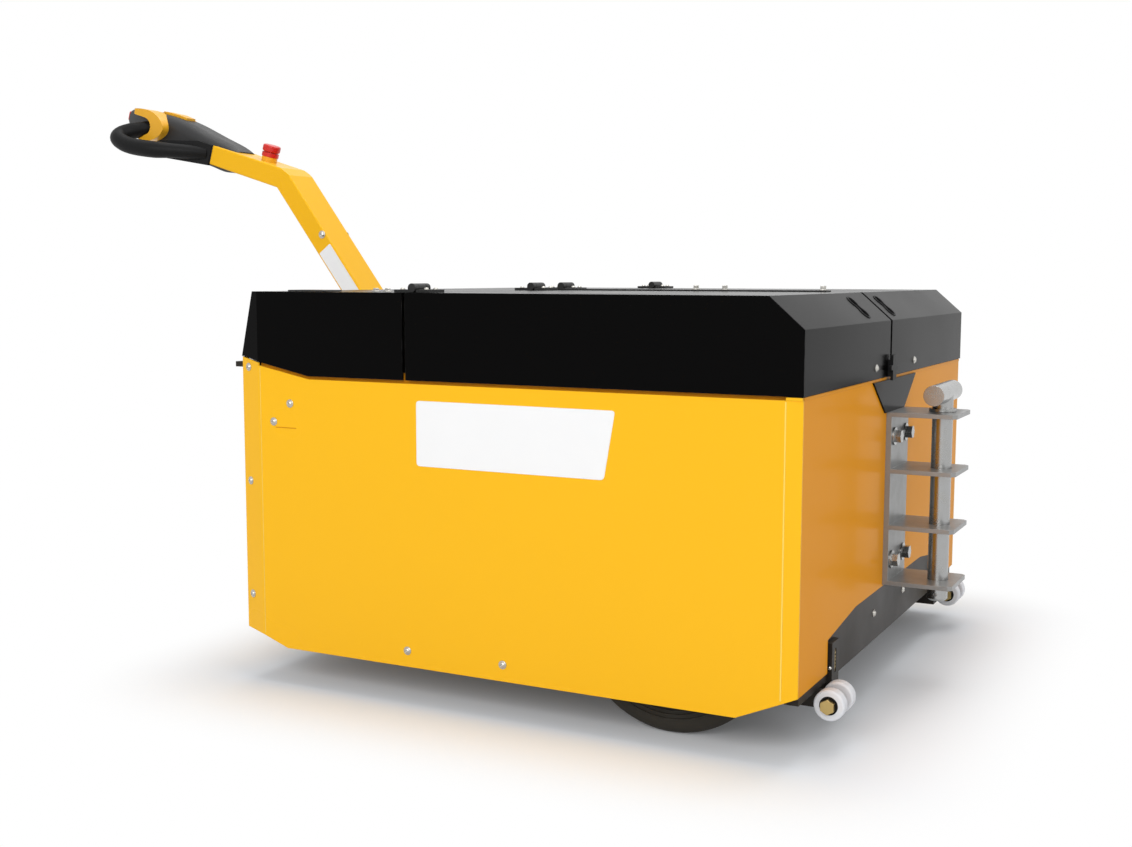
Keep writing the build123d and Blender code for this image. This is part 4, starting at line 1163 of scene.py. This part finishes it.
class TUG_OT_roller_trim(bpy.types.Operator):
    """Dark rings on the rollers, painted shade for the recess round each bolt, and the adjusters in the slots of their
    brackets
    """

    bl_idname = "tug.roller_trim"
    bl_label = "Roller seals and adjusters"

    def execute(self, context):
        small = sizes()
        rim = small.recess_shade_diameter / 2
        bore = 0.0078
        # Flat dark ring on each end of the rollers: painted shade for the recess round the bolt.
        recess_shade_profile = ((bore, 0), (rim, 0), (rim, 0.0004), (rim - 0.0004, 0.0007), (bore, 0.0007), (bore, 0))
        for side, name in ((-1, "left"), (1, "right")):
            mesh = bmesh.new()
            low, high = node_box(f"roller_discs_{name}")
            middle = (low + high) / 2
            for y, way in ((low.y, -1), (high.y, 1)):
                turned(mesh, recess_shade_profile, facing((middle.x, y, middle.z), (0, way, 0)), 32)
            put_piece(f"roller_recess_shades_{name}", mesh, "dark_gap", f"roller_{name}")
            plate = node_box("hitch_end_plate")[1].x
            mesh = bmesh.new()
            spot = Vector((plate, side * 0.383, 0.131))
            slot = rounded(block_outline(0.0078, 0.040), 0.0038, 6)
            raised(mesh, slot, facing(spot, (1, 0, 0)), 0.0066, 0.0005)
            for step in range(5):
                ridge = facing(spot + Vector((0.0066, 0, 0.006 * (step - 2))), (1, 0, 0))
                raised(mesh, rounded(block_outline(0.0066, 0.0034), 0.0008), ridge, 0.0008, 0.0004)
            put_piece(f"roller_adjuster_{name}", mesh, "brass_bolt", "chassis")
            mesh = bmesh.new()
            dome_screw(mesh, facing((plate + 0.004, side * 0.403, 0.121), (0, side, 0)), 0.0068, 0.0074)
            put_piece(f"adjuster_screw_{name}", mesh, "bright_screw", "chassis")
        return {"FINISHED"}


class TUG_OT_tyre_ribs(bpy.types.Operator):
    """Moulded ribs on the sides of the tyres"""

    bl_idname = "tug.tyre_ribs"
    bl_label = "Tyre ribs"

    def execute(self, context):
        tall = sizes().rib_height
        tyres = (
            ("rear_tyre_left", "rear_wheel_left", (0.137, 0.144, 0.152)),
            ("rear_tyre_right", "rear_wheel_right", (0.137, 0.144, 0.152)),
            ("drive_tyre", "drive_wheel", (0.101, 0.108)),
        )
        for node, body, radii in tyres:
            mesh = bmesh.new()
            low, high = node_box(node)
            middle = (low + high) / 2
            for y, way in ((low.y, -1), (high.y, 1)):
                for r in radii:
                    rib = ((r - tall, 0), (r - tall / 2, tall), (r + tall / 2, tall), (r + tall, 0), (r - tall, 0))
                    turned(mesh, rib, facing((middle.x, y, middle.z), (0, way, 0)), 72)
            put_piece(f"{node}_ribs", mesh, "tyre_rubber", body)
        return {"FINISHED"}


class TUG_OT_tiller_end_screws(bpy.types.Operator):
    """Dome screws along the edges of the tiller-end panel"""

    bl_idname = "tug.tiller_end_screws"
    bl_label = "Tiller-end screws"

    def execute(self, context):
        small = sizes()
        mesh = bmesh.new()
        x = node_box("tiller_end_panel")[0].x
        for y in (-0.50, -0.17, 0.17, 0.50):
            for height in (0.150, 0.520):
                dome_screw(mesh, facing((x, y, height), (-1, 0, 0)), small.screw_head, small.screw_washer)
        put_piece("tiller_end_screws", mesh, "bright_screw", "chassis")
        return {"FINISHED"}


class TUG_OT_battery_top(bpy.types.Operator):
    """Cell tops, vent caps and links on the battery, seen with the lids up"""

    bl_idname = "tug.battery_top"
    bl_label = "Battery top"

    rows = 4
    columns = 6

    def execute(self, context):
        rise = sizes().cell_rise
        low, high = node_box("battery_block")
        pitch = Vector(((high.x - low.x) / self.columns, (high.y - low.y) / self.rows))
        cells, caps, links = bmesh.new(), bmesh.new(), bmesh.new()
        outline = rounded(block_outline(pitch.x * 0.92, pitch.y * 0.94), 0.010)
        cap = ((0.017, 0), (0.017, 0.006), (0.015, 0.008), (0.015, 0.015), (0.012, 0.017), (0.005, 0.0175), (0, 0.0165))
        post = ((0.011, 0), (0.010, 0.012), (0.008, 0.013), (0, 0.013))
        for row in range(self.rows):
            for column in range(self.columns):
                spot = Vector((low.x + (column + 0.5) * pitch.x, low.y + (row + 0.5) * pitch.y, high.z))
                raised(cells, outline, facing(spot, (0, 0, 1), (0, 1, 0)), rise, 0.003)
                top = spot + Vector((0, 0, rise))
                turned(caps, cap, facing(top, (0, 0, 1)), 24)
                ends = [top + Vector((0, way * pitch.y * 0.3, 0)) for way in (-1, 1)]
                for end in ends:
                    turned(links, post, facing(end, (0, 0, 1)), 20)
                if column + 1 < self.columns:
                    bar = ends[(row + column) % 2] + Vector((pitch.x / 2, 0, 0.006))
                    shape = rounded(block_outline(pitch.x + 0.018, 0.018), 0.006)
                    raised(links, shape, facing(bar, (0, 0, 1), (0, 1, 0)), 0.005, 0.001)
        put_piece("battery_cells", cells, "battery_case", "chassis")
        put_piece("battery_caps", caps, "switch_plastic", "chassis")
        put_piece("battery_links", links, "bare_steel", "chassis")
        return {"FINISHED"}


class TUG_OT_stage(bpy.types.Operator):
    """Floor, room light, softboxes and camera"""

    bl_idname = "tug.stage"
    bl_label = "Stage"

    # Distances outside the body's footprint over which the floor's shade gives way to white
    shade_start = 0.04
    shade_end = 0.33

    def execute(self, context):
        stage = context.scene.tug_stage
        context.scene.view_settings.view_transform = "Standard"
        self.floor()
        self.room(context, stage.room)
        lamps = (
            ("front_softbox", (1.0, -4.3, 2.4), (0.1, 0.0, 0.35), 3.4, 2.2, stage.front_power),
            ("top_softbox", (0.2, 0.6, 3.6), (0.1, 0.0, 0.4), 3.2, 3.2, stage.top_power),
            ("hitch_softbox", (4.0, -0.8, 1.9), (0.6, 0.0, 0.4), 2.0, 2.0, stage.hitch_power),
        )
        for name, place, aim, width, height, power in lamps:
            self.softbox(context, name, place, aim, width, height, power)
        self.camera(context, stage)
        return {"FINISHED"}

    def floor(self):
        """Pale floor that keeps the shadow, shows white further out and is open to a look from below."""
        mesh = bmesh.new()
        bmesh.ops.create_grid(mesh, x_segments=2, y_segments=2, size=14.0)
        data = bpy.data.meshes.new("floor")
        mesh.to_mesh(data)
        mesh.free()
        floor = bpy.data.objects.new("floor", data)
        bpy.context.scene.collection.objects.link(floor)
        material = bpy.data.materials.new("pale_floor")
        material.use_nodes = True
        tree = material.node_tree
        tree.nodes.remove(tree.nodes["Principled BSDF"])
        matt = add_node(tree, "ShaderNodeBsdfDiffuse", set=(("Color", (0.80, 0.82, 0.85, 1.0)),))
        glow = add_node(tree, "ShaderNodeEmission", set=(("Strength", 0.06),))
        white = add_node(tree, "ShaderNodeEmission", set=(("Strength", 1.0),))
        near = add_node(tree, "ShaderNodeAddShader")
        tree.links.new(matt.outputs["BSDF"], near.inputs[0])
        tree.links.new(glow.outputs["Emission"], near.inputs[1])
        place = add_node(tree, "ShaderNodeTexCoord")
        middle = ((tiller_end + hitch_face) / 2, 0.0, 0.0)
        half = ((hitch_face - tiller_end) / 2, half_width, 0.0)
        steps = (("SUBTRACT", middle), ("ABSOLUTE", None), ("SUBTRACT", half), ("MAXIMUM", (0, 0, 0)), ("LENGTH", None))
        reach = place.outputs["Object"]
        for operation, value in steps:
            step = add_node(tree, "ShaderNodeVectorMath", operation=operation)
            tree.links.new(reach, step.inputs[0])
            if value:
                step.inputs[1].default_value = value
            reach = step.outputs["Value" if operation == "LENGTH" else "Vector"]
        fade = add_node(tree, "ShaderNodeMapRange", interpolation_type="SMOOTHSTEP")
        fade.inputs["From Min"].default_value = self.shade_start
        fade.inputs["From Max"].default_value = self.shade_end
        tree.links.new(reach, fade.inputs["Value"])
        shown = add_node(tree, "ShaderNodeMixShader")
        tree.links.new(fade.outputs["Result"], shown.inputs["Fac"])
        tree.links.new(near.outputs["Shader"], shown.inputs[1])
        tree.links.new(white.outputs["Emission"], shown.inputs[2])
        pick = add_node(tree, "ShaderNodeMixShader")
        tree.links.new(self.seen(tree), pick.inputs["Fac"])
        tree.links.new(matt.outputs["BSDF"], pick.inputs[1])
        tree.links.new(shown.outputs["Shader"], pick.inputs[2])
        below = add_node(tree, "ShaderNodeMixShader")
        tree.links.new(add_node(tree, "ShaderNodeNewGeometry").outputs["Backfacing"], below.inputs["Fac"])
        tree.links.new(pick.outputs["Shader"], below.inputs[1])
        tree.links.new(add_node(tree, "ShaderNodeBsdfTransparent").outputs["BSDF"], below.inputs[2])
        tree.links.new(below.outputs["Shader"], tree.nodes["Material Output"].inputs["Surface"])
        data.materials.append(material)

    def seen(self, tree):
        """1 where a ray comes from the camera, a reflection or glass."""
        path = add_node(tree, "ShaderNodeLightPath")
        first = add_node(tree, "ShaderNodeMath", operation="MAXIMUM")
        tree.links.new(path.outputs["Is Camera Ray"], first.inputs[0])
        tree.links.new(path.outputs["Is Glossy Ray"], first.inputs[1])
        second = add_node(tree, "ShaderNodeMath", operation="MAXIMUM")
        tree.links.new(first.outputs["Value"], second.inputs[0])
        tree.links.new(path.outputs["Is Transmission Ray"], second.inputs[1])
        return second.outputs["Value"]

    def room(self, context, strength):
        """White backdrop, with a plainer strength for the light that it gives."""
        world = bpy.data.worlds.new("white_room")
        world.use_nodes = True
        tree = world.node_tree
        light = tree.nodes["Background"]
        light.inputs["Color"].default_value = (1.0, 1.0, 1.0, 1.0)
        light.inputs["Strength"].default_value = strength
        backdrop = add_node(tree, "ShaderNodeBackground", set=(("Color", (1.0, 1.0, 1.0, 1.0)), ("Strength", 1.0)))
        pick = add_node(tree, "ShaderNodeMixShader")
        tree.links.new(self.seen(tree), pick.inputs["Fac"])
        tree.links.new(light.outputs["Background"], pick.inputs[1])
        tree.links.new(backdrop.outputs["Background"], pick.inputs[2])
        tree.links.new(pick.outputs["Shader"], tree.nodes["World Output"].inputs["Surface"])
        context.scene.world = world

    def softbox(self, context, name, place, aim, width, height, power):
        """Rectangular lamp turned towards a point."""
        lamp = bpy.data.lights.new(name, "AREA")
        lamp.shape = "RECTANGLE"
        lamp.size, lamp.size_y, lamp.energy = width, height, power
        holder = bpy.data.objects.new(name, lamp)
        holder.location = place
        holder.rotation_euler = (Vector(aim) - Vector(place)).to_track_quat("-Z", "Y").to_euler()
        context.scene.collection.objects.link(holder)

    def camera(self, context, stage):
        """Camera at the photograph's viewing angle."""
        eye = bpy.data.cameras.new("photo_view")
        eye.sensor_fit = "HORIZONTAL"
        eye.sensor_width = 36.0
        eye.lens = stage.lens
        holder = bpy.data.objects.new("photo_view", eye)
        turn = Matrix.Rotation(stage.yaw, 4, "Z")
        tilt = Matrix.Rotation(math.pi / 2 + stage.pitch, 4, "X")
        holder.matrix_world = Matrix.Translation(stage.eye) @ turn @ tilt @ Matrix.Rotation(stage.roll, 4, "Z")
        context.scene.collection.objects.link(holder)
        context.scene.camera = holder


OPERATORS = (
    TUG_OT_panels,
    TUG_OT_covers,
    TUG_OT_chassis,
    TUG_OT_hitch,
    TUG_OT_wheels,
    TUG_OT_tiller,
    TUG_OT_panel_screws,
    TUG_OT_blank_plates,
    TUG_OT_panel_lips,
    TUG_OT_panel_folds,
    TUG_OT_lid_studs,
    TUG_OT_pull_grommets,
    TUG_OT_top_fittings,
    TUG_OT_hinge_screws,
    TUG_OT_arm_trim,
    TUG_OT_loop_grips,
    TUG_OT_roller_trim,
    TUG_OT_tyre_ribs,
    TUG_OT_tiller_end_screws,
    TUG_OT_battery_top,
    TUG_OT_stage,
)


class TUG_PT_dressing(bpy.types.Panel):
    """Lists the dressing steps with their colours and sizes"""

    bl_idname = "TUG_PT_dressing"
    bl_label = "Tow tractor"
    bl_space_type = "VIEW_3D"
    bl_region_type = "UI"
    bl_category = "Tug"

    def draw(self, context):
        for group in (context.scene.tug_colours, context.scene.tug_sizes, context.scene.tug_stage):
            column = self.layout.column()
            for key in group.__annotations__:
                column.prop(group, key)
        for operator in OPERATORS:
            self.layout.operator(operator.bl_idname)


GROUPS = (("tug_colours", TugColours), ("tug_sizes", TugSizes), ("tug_stage", TugStage))


def register():
    """Registers the classes and hangs the settings on the scene."""
    for name, group in GROUPS:
        bpy.utils.register_class(group)
        setattr(bpy.types.Scene, name, PointerProperty(type=group))
    for kind in (*OPERATORS, TUG_PT_dressing):
        bpy.utils.register_class(kind)


def unregister():
    """Takes the settings and the classes away."""
    for kind in (TUG_PT_dressing, *reversed(OPERATORS)):
        bpy.utils.unregister_class(kind)
    for name, group in reversed(GROUPS):
        delattr(bpy.types.Scene, name)
        bpy.utils.unregister_class(group)


def main():
    """Runs every step in order."""
    register()
    for operator in OPERATORS:
        family, step = operator.bl_idname.split(".")
        getattr(getattr(bpy.ops, family), step)()


if __name__ == "__main__":
    main()
